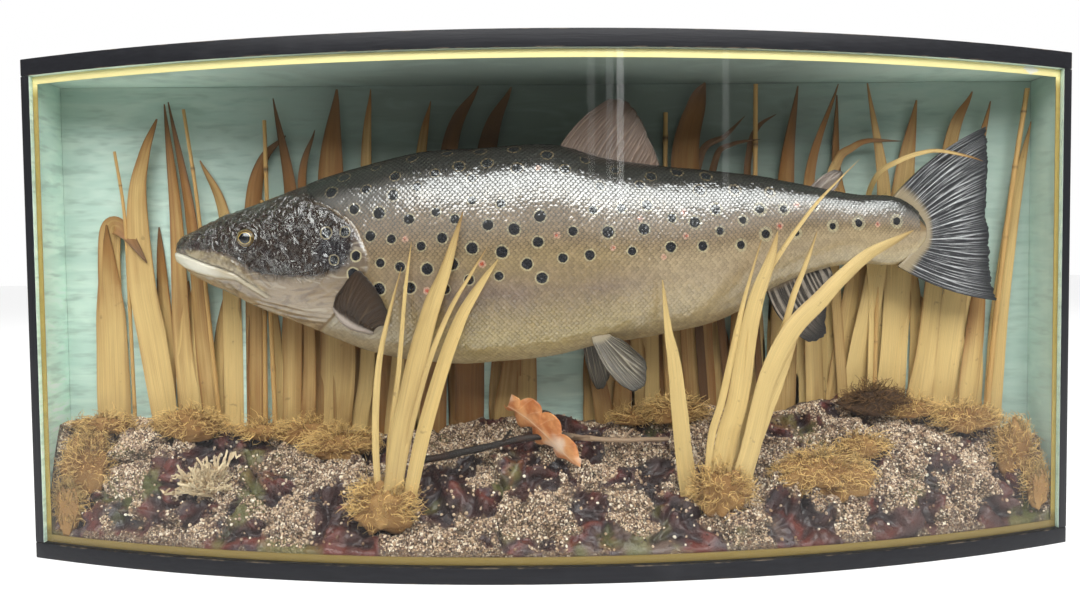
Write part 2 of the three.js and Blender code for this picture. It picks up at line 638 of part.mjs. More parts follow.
// Each reed of a front tuft is its width and then the [x, y, z] points that it runs through.
const FRONT_TUFTS = [
  {
    name: 'reed_tuft_left', lump: [[-154, -42, 60], [32, 14, 27]],
    reeds: [
      [6, [-157, -45, 62], [-158, -50, 120], [-155, -51, 180], [-147, -51, 222], [-133, -50, 272]],
      [5, [-150, -42, 62], [-146, -48, 120], [-137, -50, 180], [-130, -50, 252], [-124, -50, 294]],
      [18, [-147, -46, 60], [-137, -52, 120], [-123, -54, 183], [-108, -54, 235], [-95, -54, 269],
        [-79, -54, 319]],
      [5, [-142, -40, 64], [-127, -52, 130], [-109, -57, 192], [-91, -57, 235], [-73, -57, 265],
        [-58, -57, 289]],
      [13, [-132, -42, 62], [-118, -52, 120], [-99, -55, 183], [-83, -56, 226], [-65, -57, 256],
        [-49, -58, 278]],
    ],
  },
  {
    name: 'reed_tuft_right', lump: [[146, -42, 70], [27, 13, 26]],
    reeds: [
      [7, [133, -42, 66], [136, -48, 120], [145, -49, 153], [157, -49, 206], [165, -48, 241],
        [181, -46, 293]],
      [19, [143, -43, 70], [150, -47, 120], [159, -48, 152], [166, -47, 196], [176, -46, 240],
        [189, -45, 275], [196, -44, 300]],
      [5, [154, -40, 72], [168, -46, 180], [173, -44, 231], [179, -41, 240], [190, -40, 266],
        [208, -38, 293], [230, -37, 322], [248, -36, 341], [272, -34, 364]],
      [17, [155, -42, 70], [168, -46, 100], [186, -45, 169], [209, -42, 213], [235, -39, 239],
        [253, -37, 257], [280, -33, 279], [307, -28, 292], [325, -24, 301]],
      [24, [160, -40, 72], [178, -40, 134], [198, -37, 178], [218, -34, 213]],
      [6, [166, -36, 76], [190, -33, 178], [206, -32, 218], [214, -31, 244], [223, -30, 266],
        [230, -30, 284], [236, -29, 301]],
    ],
  },
];

const LONE_REED = [
  [120, -27, 56], [118, -30, 76], [113, -37, 110], [107, -45, 154], [103, -49, 189], [98, -51, 215],
  [93, -52, 259],
];

function buildTufts(groundRoom) {
  for (const tuft of FRONT_TUFTS) {
    const blades = tuft.reeds.map(([width, ...line]) => reed({ width, line, isStem: false }));
    add(tuft.name, joined([mossLump(...tuft.lump), ...blades]).subtract(groundRoom), REEDS);
  }
  add('reed_front', reed({ width: 16, line: LONE_REED, isStem: false }).subtract(groundRoom), REEDS);
}

const LICHEN_TUFT = { x: -326, y: 4, tines: 7, lift: 3, length: 26 };

// A branching lichen: tines that spread from one foot.
function buildLichen(groundRoom) {
  const { x, y, tines, lift, length } = LICHEN_TUFT;
  const solids = [];
  for (let i = 0; i < tines; i += 1) {
    const lean = i === 0 ? 0 : 0.55 + 0.2 * (i % 3);
    const long = length + 5 * (i % 3);
    const tine = new THREE.CylinderGeometry(1.2, 3.4, long, 4).translate(0, long / 2, 0);
    tine.rotateX(Math.PI / 2).rotateY(lean).rotateZ((2 * Math.PI * i) / (tines - 1));
    solids.push(solid(tine.translate(x, y, groundZ(x, y) + lift)));
  }
  add('lichen', largestPiece(joined(solids).subtract(groundRoom)), LICHEN);
}

function groundTopNear(x, y, reach) {
  let top = 0;
  for (let dx = -reach; dx <= reach; dx += reach / 4) {
    for (let dy = -reach; dy <= reach; dy += reach / 2) {
      top = Math.max(top, groundZ(x + dx, y + dy));
    }
  }
  return top;
}

function buildTwig() {
  const radius = 2.6;
  const route = [[-134, -6], [-79, -2], [-14, 3], [19, 4], [62, 6], [107, 2]];
  const rest = radius + 1.5;
  const path = new THREE.CatmullRomCurve3(route.map(([x, y]) => vec(x, y, groundTopNear(x, y, 16) + rest)));
  const section = new THREE.Shape().absarc(0, 0, radius, 0, 2 * Math.PI);
  const options = { steps: 10, extrudePath: path, bevelEnabled: false, curveSegments: 2 };
  return solid(new THREE.ExtrudeGeometry(section, options));
}

// A curled, lobed leaf lying over the rockwork, with its stalk end to the right.
function buildOakLeaf(groundRoom, twigRoom) {
  const [from, to] = [vec(-44, 14, 140), vec(22, -22, 92)];
  const halfWidth = 24;
  const point = (u, v) => {
    const centre = from.clone().lerp(to, u);
    const lobes = 0.62 + 0.38 * Math.abs(Math.cos(3.3 * Math.PI * u));
    const across = (2 * v - 1) * halfWidth * lobes * Math.sin(Math.PI * (0.08 + 0.88 * u));
    const curl = 6 * (2 * v - 1) ** 2 + 3 * Math.sin(5 * u);
    return vec(centre.x + 0.35 * across, centre.y - 0.62 * across, centre.z + 0.55 * across + curl);
  };
  const blade = sheet(8, 4, point, () => 0.9);
  return blade.subtract(groundRoom).subtract(twigRoom);
}

function largestPiece(body) {
  const pieces = body.decompose();
  return pieces.reduce((best, next) => (next.volume() > best.volume() ? next : best));
}

function buildGround() {
  const groundRoom = groundFront(GAP);
  add('groundwork', groundFront(), ROCK);
  buildBanks();
  for (const [name, [centre, radii]] of Object.entries(MOSS_LUMPS)) {
    add(name, largestPiece(mossLump(centre, radii).subtract(groundRoom)), MOSS);
  }
  buildTufts(groundRoom);
  buildLichen(groundRoom);
  const twig = buildTwig();
  add('twig', twig, TWIG);
  add('oak_leaf', largestPiece(buildOakLeaf(groundRoom, twig)), OAK);
}

buildCase();
buildGilt();
buildBody();
buildFins();
buildMountBlock();
buildGround();

export default group;
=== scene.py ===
import math
from contextlib import contextmanager

import bmesh
import bpy
import numpy as np
from mathutils import Matrix, Vector


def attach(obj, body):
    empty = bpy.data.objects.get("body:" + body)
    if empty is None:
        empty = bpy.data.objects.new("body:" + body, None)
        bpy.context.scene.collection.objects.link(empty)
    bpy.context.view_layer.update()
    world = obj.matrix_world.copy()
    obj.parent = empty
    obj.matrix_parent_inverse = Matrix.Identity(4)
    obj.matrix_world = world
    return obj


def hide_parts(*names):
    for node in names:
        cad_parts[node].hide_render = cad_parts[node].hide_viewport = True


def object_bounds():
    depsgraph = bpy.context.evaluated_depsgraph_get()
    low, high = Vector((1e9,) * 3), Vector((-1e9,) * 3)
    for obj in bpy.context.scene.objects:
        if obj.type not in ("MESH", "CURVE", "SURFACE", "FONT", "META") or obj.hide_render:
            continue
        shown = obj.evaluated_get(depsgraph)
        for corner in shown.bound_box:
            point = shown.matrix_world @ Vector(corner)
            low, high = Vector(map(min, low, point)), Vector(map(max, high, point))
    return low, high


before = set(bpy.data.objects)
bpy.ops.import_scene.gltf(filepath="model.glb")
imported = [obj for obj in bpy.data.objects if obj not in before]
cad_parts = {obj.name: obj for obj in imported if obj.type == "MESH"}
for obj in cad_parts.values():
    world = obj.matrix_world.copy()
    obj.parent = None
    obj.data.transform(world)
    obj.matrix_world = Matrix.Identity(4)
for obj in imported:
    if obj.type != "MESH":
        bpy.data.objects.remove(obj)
CAD_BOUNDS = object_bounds()

bl_info = {
    "name": "Cased Brown Trout",
    "version": (1, 0, 0),
    "blender": (4, 5, 0),
    "location": "3D View > Sidebar > Trout",
    "description": "Builds the looks of a preserved brown trout in its bow-fronted glazed case",
    "category": "Add Mesh",
}

# Metres, +Z up. The origin is under the middle of the case. The glass faces -Y and the fish
# swims towards -X, so its own left flank is the one behind the glass.
MM = 0.001

# ---------------------------------------------------------------- places and sizes

VIEW_SIZE = (1080, 608)
VIEW_PLACE = np.array([-23.4, -771.1, 265.7]) * MM
VIEW_TURN = [math.radians(a) for a in (-0.795, -2.12, 0.597)]
VIEW_FOCUS = 830
SENSOR = 36

CASE_LOW, CASE_HIGH = (np.array(corner) for corner in CAD_BOUNDS)
BOW_DEPTH = 90 * MM
BOARD = {"side": 10 * MM, "top": 16 * MM, "base": 15 * MM, "back": 8 * MM}
GLASS = {"set_back": 1.5 * MM, "thickness": 3 * MM}
GILT = {"width": 7 * MM, "side": 5.5 * MM, "thickness": 0.8 * MM}
GAP = 0.3 * MM
HALF_WIDTH = CASE_HIGH[0]
INSIDE_X = HALF_WIDTH - BOARD["side"]
FLOOR_Z = BOARD["base"]
CEILING_Z = CASE_HIGH[2] - BOARD["top"]
BACKBOARD_Y = CASE_HIGH[1] - BOARD["back"]
BOW_RADIUS = (HALF_WIDTH**2 + BOW_DEPTH**2) / (2 * BOW_DEPTH)
BOW_CENTRE_Y = CASE_LOW[1] + BOW_RADIUS

# The trout: [x, back, belly, half thickness] in mm, from the snout to the root of the tail fin.
BODY = np.array([
    [-357, 291, 283, 5], [-350, 303, 276, 13], [-335, 310, 264.5, 19], [-305, 324.5, 250, 26.5],
    [-275, 334.5, 235, 32], [-240, 346, 222, 37], [-205, 358.5, 208, 41], [-170, 367.5, 194.5, 45],
    [-120, 379, 185, 49], [-70, 381.5, 182.5, 50], [0, 384, 189.5, 49], [45, 371.5, 199.5, 46.5],
    [95, 364, 206, 41], [145, 359.5, 217, 34.5], [180, 356, 232, 29.5], [205, 352.5, 249, 25.5],
    [250, 344, 265.5, 19], [290, 337.5, 272, 14.5], [325, 335.5, 270, 11.5], [345, 326, 278, 8],
    [358, 311, 292, 4.5], [360.5, 304, 298, 3],
]) * MM
SPINE_BEND = 0.18
WIDEST_LEVEL = 0.52
SQUARENESS = 0.9
SKIN_INSET = 0.7 * MM
HEAD_END_X = -140 * MM
SCALES_START_X = -232 * MM
SCALES_END_X = 349.5 * MM
EYE = {"x": -278 * MM, "z": 300 * MM, "radius": 11 * MM, "proud": 3.4 * MM, "flank": 0.97}

# The groundwork rises from its front to a bank along the back, whose line is [x, z]; all in mm.
GROUND_FRONT_Z = 24
GROUND_BACK_Y = 45.7
GROUND_RISE = 0.75
BANK_LINE = [
    [-486, 122], [-400, 126], [-300, 115], [-130, 108], [-30, 126], [45, 117], [150, 133],
    [210, 124], [305, 141], [380, 122], [486, 98],
]

# Lines and spots of the head and flank, as the camera sees them, in pixels of VIEW_SIZE.
SEEN_MOUTH = [(176, 252), (190, 257), (205, 263), (220, 268), (234, 273), (244, 280), (256, 287), (269, 297)]
SEEN_LIP_EDGE = [
    (177, 261), (187, 268), (200, 273), (213, 277), (226, 279.5), (236, 280.5), (250, 289), (268, 299),
]
SEEN_JAW_PLATE = [
    (184, 249), (200, 250.5), (215, 252.5), (228, 257), (238, 265), (247, 274), (256, 282), (268, 292),
    (270, 297), (256, 288), (244, 280), (234, 273), (220, 268), (205, 263), (190, 257),
]
SEEN_FOLDS = [
    [(224, 254), (236, 258), (247, 267), (256, 277)],
    [(238, 259), (250, 266), (259, 276), (270, 287)],
    [(250, 262), (262, 273), (272, 284)],
]
SEEN_GILL_EDGE = [
    (296, 160), (303, 188), (311, 201), (320, 204), (330, 209.5), (340, 216), (350, 224), (356, 232),
    (359, 240), (363, 247), (366, 255), (368, 264), (364, 273), (354, 284), (345, 296), (338, 309),
    (332, 318), (320, 332),
]
SEEN_PREOPERCLE = [(314, 222), (320, 232), (325, 245), (326, 258), (325, 270), (321, 281), (312, 288)]
SEEN_CHEEK = [(288, 222), (294, 236), (304, 250), (310, 262), (312, 272)]
SEEN_SUBOPERCLE = [(325, 272), (338, 274), (352, 274), (364, 268)]
SEEN_RIDGES = [
    [(302, 299), (318, 295), (330, 289), (342, 283)], [(306, 303), (322, 299), (333, 294), (343, 288)],
    [(310, 306), (325, 303), (335, 298), (342, 294)], [(262, 300), (285, 305), (310, 310), (335, 312)],
    [(256, 302), (285, 310), (310, 315), (333, 317)], [(258, 306), (285, 315), (308, 319), (330, 321)],
]
SEEN_DARK_EDGE = [
    (172, 248), (200, 249), (220, 252), (236, 259), (248, 268), (262, 274), (282, 278), (303, 279),
    (318, 278), (331, 272), (343, 264), (349, 252), (352, 238), (346, 222), (330, 208), (312, 199),
    (296, 172), (290, 150),
]
SEEN_NOSTRILS = [(207, 234.5), (213, 237)]
BLACK_SPOTS = """
322,179 344,177 331,192 354,209 366,189 376,167 395,176 393,195 379,213 412,158 417,187 435,173 447,153
459,166 480,151 487,163 472,178 472,200 501,203 517,168 514,149 547,155 565,169 585,160 615,170 651,176
677,172 706,176 409,219 436,212 455,219 488,225 514,229 540,216 370,236 391,239 421,246 442,238 472,248
502,252 538,242 573,231 380,263 400,267 427,269 452,264 527,264 563,258 499,276 469,280 542,278 379,289
410,288 445,289 593,210 621,208 647,205 608,232 644,229 590,255 632,251 672,218 671,247 695,222 716,209
703,246 720,231 743,220 741,245 760,209 766,234 784,209 797,233 815,206 833,226 859,223 897,221
326,233 345,232 334,260 356,256 353,274 700,190 735,190 770,192 640,185 600,186
"""
RED_SPOTS = """
405,239 482,264 427,291 557,235 538,168 613,248 686,236 684,212 780,226 797,205 878,224 664,257 640,219
"""
SPOT_RADIUS = 4.5 * MM
RED_RADIUS = 3.1 * MM
SEEN_BLOTCH = (334, 252)
OFF_SIDE_SHIFT = np.array([9, 0, -4]) * MM

# ---------------------------------------------------------------- numbers


def smooth_step(value, low, high):
    """0 below low, 1 above high, and a smooth rise between them."""
    t = np.clip((value - low) / (high - low), 0, 1)
    return t * t * (3 - 2 * t)


def lerp(a, b, t):
    return a + (b - a) * t


def through(pairs):
    """A smooth function through [x, value] pairs."""
    at, value = np.array(pairs, float).T
    index = np.arange(len(at))
    before = np.maximum(index - 1, 0)
    after = np.minimum(index + 1, len(at) - 1)
    slope = (value[after] - value[before]) / (at[after] - at[before])

    def function(x):
        x = np.asarray(x, float)
        i = np.clip(np.searchsorted(at, x, side="right") - 1, 0, len(at) - 2)
        span = at[i + 1] - at[i]
        t = np.clip((x - at[i]) / span, 0, 1)
        rise = (slope[i] * (1 - t) ** 2 * t - slope[i + 1] * (1 - t) * t**2) * span
        return value[i] + (value[i + 1] - value[i]) * t * t * (3 - 2 * t) + rise

    return function


def curve(points, count):
    """count points along a smooth curve through the given ones."""
    p = np.array(points, float)
    p = np.vstack([2 * p[0] - p[1], p, 2 * p[-1] - p[-2]])
    t = np.linspace(0, len(p) - 3, count)
    i = np.minimum(t.astype(int), len(p) - 4)
    f = (t - i)[:, None]
    a, b, c, d = p[i], p[i + 1], p[i + 2], p[i + 3]
    return 0.5 * (2 * b + (c - a) * f + (2 * a - 5 * b + 4 * c - d) * f**2 + (3 * b - a - 3 * c + d) * f**3)


def scramble(cell, seed):
    """A number from 0 to 1 for each whole-number place, the same on every run."""
    mixed = cell[..., 0] * 374761393 + cell[..., 1] * 668265263 + cell[..., 2] * 2147483629
    mixed = (mixed + seed * 97531) & 0xFFFFFFFF
    mixed = ((mixed ^ (mixed >> 13)) * 1274126177) & 0xFFFFFFFF
    return ((mixed ^ (mixed >> 16)) & 0xFFFF) / 65535.0


def noise(points, size, seed=0):
    """Smooth noise from -1 to 1 at points, with lumps of the given size."""
    p = np.asarray(points, float) / size
    cell = np.floor(p).astype(np.int64)
    f = p - cell
    f = f * f * (3 - 2 * f)
    total = 0
    for corner in np.ndindex(2, 2, 2):
        share = np.prod(np.where(np.array(corner) == 1, f, 1 - f), axis=-1)
        total = total + share * scramble(cell + np.array(corner), seed)
    return total * 2 - 1


def rough(points, size, octaves, seed=0):
    """Noise with finer noise over it."""
    return sum(noise(points, size / 2**k, seed + k) / 2**k for k in range(octaves))


def line_distance(line, x, z):
    """How far each (x, z) is from a line of points, which side it is on, and how far along it lies."""
    best = np.full(np.shape(x), np.inf)
    side = np.zeros(np.shape(x))
    along = np.zeros(np.shape(x))
    count = len(line) - 1
    for i in range(count):
        (x0, z0), (x1, z1) = line[i], line[i + 1]
        dx, dz = x1 - x0, z1 - z0
        t = np.clip(((x - x0) * dx + (z - z0) * dz) / (dx * dx + dz * dz), 0, 1)
        far = np.hypot(x - x0 - t * dx, z - z0 - t * dz)
        near = far < best
        best = np.where(near, far, best)
        side = np.where(near, np.sign(dx * (z - z0) - dz * (x - x0)), side)
        along = np.where(near, (i + t) / count, along)
    return best, side, along


def outline_depth(outline, x, z):
    """How deep each (x, z) lies inside a closed outline, less than 0 outside it."""
    closed = list(outline) + [outline[0]]
    inside = np.zeros(np.shape(x), bool)
    for (x0, z0), (x1, z1) in zip(closed[:-1], closed[1:]):
        crosses = (z0 > z) != (z1 > z)
        rise = np.where(z1 == z0, 1e-12, z1 - z0)
        inside ^= crosses & (x < (x1 - x0) * (z - z0) / rise + x0)
    far = line_distance(closed, x, z)[0]
    return np.where(inside, far, -far)


# ---------------------------------------------------------------- the camera's view


def view_matrix():
    """The camera's place and turn."""
    yaw, pitch, roll = VIEW_TURN
    turn = Matrix.Rotation(yaw, 4, "Z") @ Matrix.Rotation(pitch, 4, "X") @ Matrix.Rotation(roll, 4, "Y")
    return Matrix.Translation(VIEW_PLACE) @ turn @ Matrix.Rotation(math.radians(90), 4, "X")


back_line = through(BODY[:, [0, 1]])
belly_line = through(BODY[:, [0, 2]])
half_thickness = through(BODY[:, [0, 3]])


def spine_y(x):
    """The middle of the fish, which bends away from the glass towards both ends."""
    return SPINE_BEND * x * x


def flank_y(x, z):
    """How far out from the spine the flank stands at each (x, z)."""
    top, bottom = back_line(x), belly_line(x)
    level = lerp(bottom, top, WIDEST_LEVEL)
    reach = np.where(z > level, top - level, level - bottom)
    up = np.clip(np.abs(z - level) / reach, 0, 0.999) ** (1 / SQUARENESS)
    return half_thickness(x) * (1 - up**2) ** (SQUARENESS / 2)


def on_flank(seen):
    """Where lines of sight through these pixels meet the near flank."""
    turn = np.array(view_matrix().to_3x3())
    seen = np.array(seen, float)
    sight = np.stack([
        (seen[:, 0] - VIEW_SIZE[0] / 2) / VIEW_FOCUS,
        -(seen[:, 1] - VIEW_SIZE[1] / 2) / VIEW_FOCUS,
        np.full(len(seen), -1.0),
    ], axis=1) @ turn.T
    y = np.zeros(len(seen))
    for _ in range(12):
        found = VIEW_PLACE + sight * ((y - VIEW_PLACE[1]) / sight[:, 1])[:, None]
        y = lerp(y, spine_y(found[:, 0]) - flank_y(found[:, 0], found[:, 2]), 0.7)
    return found


def side_line(seen, count=24):
    """A line seen by the camera as a smooth row of (x, z) places on the flank."""
    return curve(on_flank(seen)[:, [0, 2]], count)


def spots(text):
    return on_flank([[float(n) for n in pair.split(",")] for pair in text.split()])


# ---------------------------------------------------------------- pieces


@contextmanager
def editing(piece):
    """Edit mode on one piece, with nothing selected to start with."""
    pick(piece)
    bpy.ops.object.mode_set(mode="EDIT")
    bpy.ops.mesh.select_mode(type="FACE")
    bpy.ops.mesh.select_all(action="DESELECT")
    try:
        yield bmesh.from_edit_mesh(piece.data)
    finally:
        bpy.ops.object.mode_set(mode="OBJECT")


def deselect():
    bpy.ops.object.select_all(action="DESELECT")


def choose(bm, kind, wanted):
    """Selects the faces or edges that pass a test, and nothing else."""
    bpy.ops.mesh.select_mode(type={"faces": "FACE", "edges": "EDGE"}[kind])
    bpy.ops.mesh.select_all(action="DESELECT")
    for element in getattr(bm, kind):
        if wanted(element):
            element.select_set(True)
    bm.select_flush_mode()


def pick(piece):
    """Selects one piece and nothing else."""
    deselect()
    piece.select_set(True)
    bpy.context.view_layer.objects.active = piece


def settle(piece):
    """Puts a piece's place, turn and scale into its mesh."""
    pick(piece)
    bpy.ops.object.transform_apply(location=True, rotation=True, scale=True)
    return piece


def modify(piece, kind, **settings):
    """Adds a modifier and applies it."""
    bpy.context.view_layer.objects.active = piece
    modifier = piece.modifiers.new(kind.title(), kind)
    for key, value in settings.items():
        setattr(modifier, key, value)
    bpy.ops.object.modifier_apply(modifier=modifier.name)


def close_seams(piece):
    """Merges a shape's doubled points and turns its faces outwards."""
    with editing(piece):
        bpy.ops.mesh.select_all(action="SELECT")
        bpy.ops.mesh.remove_doubles(threshold=1e-6)
        bpy.ops.mesh.normals_make_consistent(inside=False)


def places_of(piece):
    """A piece's vertices as an array."""
    found = np.empty(len(piece.data.vertices) * 3, np.float32)
    piece.data.vertices.foreach_get("co", found)
    return found.reshape(-1, 3).astype(float)


def move_to(piece, points):
    piece.data.vertices.foreach_set("co", np.asarray(points, np.float32).ravel())
    piece.data.update()


def note(piece, name, values):
    """Keeps one number for each vertex, which a material reads."""
    layer = piece.data.attributes.get(name) or piece.data.attributes.new(name, "FLOAT", "POINT")
    layer.data.foreach_set("value", np.asarray(values, np.float32).ravel())


def map_vertices(piece, name, uv):
    """Gives a piece a UV map with one place for each vertex, or for each face corner."""
    layer = piece.data.uv_layers.new(name=name)
    uv = np.asarray(uv, np.float32)
    if len(uv) == len(piece.data.vertices):
        corners = np.empty(len(piece.data.loops), np.int32)
        piece.data.loops.foreach_get("vertex_index", corners)
        uv = uv[corners]
    layer.uv.foreach_set("vector", uv.ravel())


def piece_of(name, points, faces):
    """A smooth mesh piece from points and three-cornered faces."""
    mesh = bpy.data.meshes.new(name)
    corners = np.asarray(faces, np.int32).ravel()
    mesh.vertices.add(len(points))
    mesh.vertices.foreach_set("co", np.asarray(points, np.float32).ravel())
    mesh.loops.add(len(corners))
    mesh.loops.foreach_set("vertex_index", corners)
    mesh.polygons.add(len(faces))
    mesh.polygons.foreach_set("loop_start", np.arange(0, len(corners), 3, dtype=np.int32))
    mesh.update(calc_edges=True)
    mesh.shade_smooth()
    piece = bpy.data.objects.new(name, mesh)
    bpy.context.scene.collection.objects.link(piece)
    return piece


def shown(piece, finish, slot, *nodes, name=None):
    """Names a piece, gives it its finish and body, and hides the CAD nodes that it stands for."""
    piece.name = name or piece.name
    piece.data.name = piece.name
    piece.data.materials.clear()
    piece.data.materials.append(finish)
    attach(piece, "root")
    if nodes:
        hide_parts(*nodes)
    return piece


def paint_node(name, finish):
    """Gives a CAD node that stays as it is its finish."""
    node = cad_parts[name]
    node.data.materials.clear()
    node.data.materials.append(finish)


# How much of the UV map each copy of a blank takes up, and how sharp an edge stays a crease.
PATCH = 0.003
CREASE = math.radians(60)


def inset(share):
    """Shares from 0 to 1, kept a little off the edges of a UV map."""
    return 0.01 + 0.98 * share


class Blank:
    """A shape that was modelled once, kept as its points and faces so that it can be copied."""

    def __init__(self, piece):
        bm = bmesh.new()
        bm.from_mesh(piece.data)
        bmesh.ops.triangulate(bm, faces=bm.faces)
        self.points = np.array([v.co for v in bm.verts])
        self.faces = np.array([[v.index for v in f.verts] for f in bm.faces])
        self.sharp = np.zeros((len(self.points), len(self.points)), bool)
        for edge in bm.edges:
            first, second = (v.index for v in edge.verts)
            self.sharp[first, second] = self.sharp[second, first] = edge.calc_face_angle(0) > CREASE
        bm.free()
        bpy.data.objects.remove(piece)

    def copies(self, name, points, patches=None):
        """One mesh of many copies. points has a row of places for each copy of the blank."""
        count, each = points.shape[:2]
        faces = self.faces[None] + (np.arange(count) * each)[:, None, None]
        piece = piece_of(name, points.reshape(-1, 3), faces.reshape(-1, 3))
        if self.sharp.any():
            ends = np.empty(len(piece.data.edges) * 2, np.int32)
            piece.data.edges.foreach_get("vertices", ends)
            ends = ends.reshape(-1, 2) % each
            creases = piece.data.attributes.new("sharp_edge", "BOOLEAN", "EDGE")
            creases.data.foreach_set("value", self.sharp[ends[:, 0], ends[:, 1]])
        if patches is not None:
            low, high = self.points.min(0), self.points.max(0)
            axes = np.argsort(high - low)[-2:]
            flat = (self.points[:, axes] - low[axes]) / (high - low)[axes] - 0.5
            map_vertices(piece, "OFBake", (patches[:, None] + flat * PATCH).reshape(-1, 2))
        return piece


def turns(count, random):
    """Random turns, each a 3 by 3 matrix."""
    lean = random.uniform(0, math.pi, count)
    way, spin = random.uniform(0, 2 * math.pi, (2, count))
    axis = np.stack([np.cos(way), np.sin(way), np.zeros(count)], 1)
    return about(axis, lean) @ about(np.tile([0.0, 0.0, 1.0], (count, 1)), spin)


def about(axis, angle):
    """Turns about unit axes."""
    x, y, z = axis.T
    c, s = np.cos(angle), np.sin(angle)
    d = 1 - c
    rows = [
        [c + x * x * d, x * y * d - z * s, x * z * d + y * s],
        [y * x * d + z * s, c + y * y * d, y * z * d - x * s],
        [z * x * d - y * s, z * y * d + x * s, c + z * z * d],
    ]
    return np.moveaxis(np.array(rows), 2, 0)


def unit(vectors):
    return vectors / np.maximum(np.linalg.norm(vectors, axis=-1, keepdims=True), 1e-12)


def tube_blank(sides, rings):
    """A straight tube from z 0 to z 1 with radius 1, to be bent along other paths."""
    deselect()
    bpy.ops.mesh.primitive_cylinder_add(vertices=sides, radius=1, depth=1, location=(0, 0, 0.5))
    piece = settle(bpy.context.object)
    with editing(piece) as bm:
        choose(bm, "edges", lambda e: abs(e.verts[0].co.z - e.verts[1].co.z) > 0.5)
        bpy.ops.mesh.subdivide(number_cuts=rings)
    return Blank(piece)


def along_paths(blank, paths, radii):
    """Bends a tube blank along each path. paths is (count, steps, 3), radii is (count, steps)."""
    steps = paths.shape[1]
    at = np.clip(blank.points[:, 2], 0, 1) * (steps - 1)
    i = np.minimum(at.astype(int), steps - 2)
    f = (at - i)[None, :, None]
    centre = paths[:, i] * (1 - f) + paths[:, i + 1] * f
    radius = (radii[:, i] * (1 - f[..., 0]) + radii[:, i + 1] * f[..., 0])[..., None]
    ahead = unit(np.gradient(paths, axis=1))
    ahead = unit(ahead[:, i] * (1 - f) + ahead[:, i + 1] * f)
    guide = np.where(np.abs(ahead[..., 2:3]) > 0.9, [1.0, 0, 0], [0, 0, 1.0])
    side = unit(np.cross(ahead, guide))
    up = np.cross(side, ahead)
    across, over = (blank.points[:, axis][None, :, None] for axis in (0, 1))
    return centre + (side * across + up * over) * radius


# ---------------------------------------------------------------- materials


class Link:
    """A socket that takes part in sums, each of which becomes a Math node."""

    def __init__(self, finish, socket):
        self.finish = finish
        self.socket = socket

    def math(self, operation, *values):
        return self.finish.node("Math", {"operation": operation}, dict(enumerate(values)))

    def __add__(self, other):
        return self.math("ADD", self, other)

    __radd__ = __add__

    def __sub__(self, other):
        return self.math("SUBTRACT", self, other)

    def __rsub__(self, other):
        return self.math("SUBTRACT", other, self)

    def __mul__(self, other):
        return self.math("MULTIPLY", self, other)

    __rmul__ = __mul__

    def __truediv__(self, other):
        return self.math("DIVIDE", self, other)

    def __pow__(self, other):
        return self.math("POWER", self, other)

    def __abs__(self):
        return self.math("ABSOLUTE", self)

    def rise(self, low, high):
        """0 below low, 1 above high, with a smooth rise between; low may be above high."""
        settings = {"interpolation_type": "SMOOTHSTEP"}
        if low > high:
            return 1 - self.rise(high, low)
        return self.finish.node("MapRange", settings, {0: self, 1: low, 2: high, 3: 0.0, 4: 1.0})


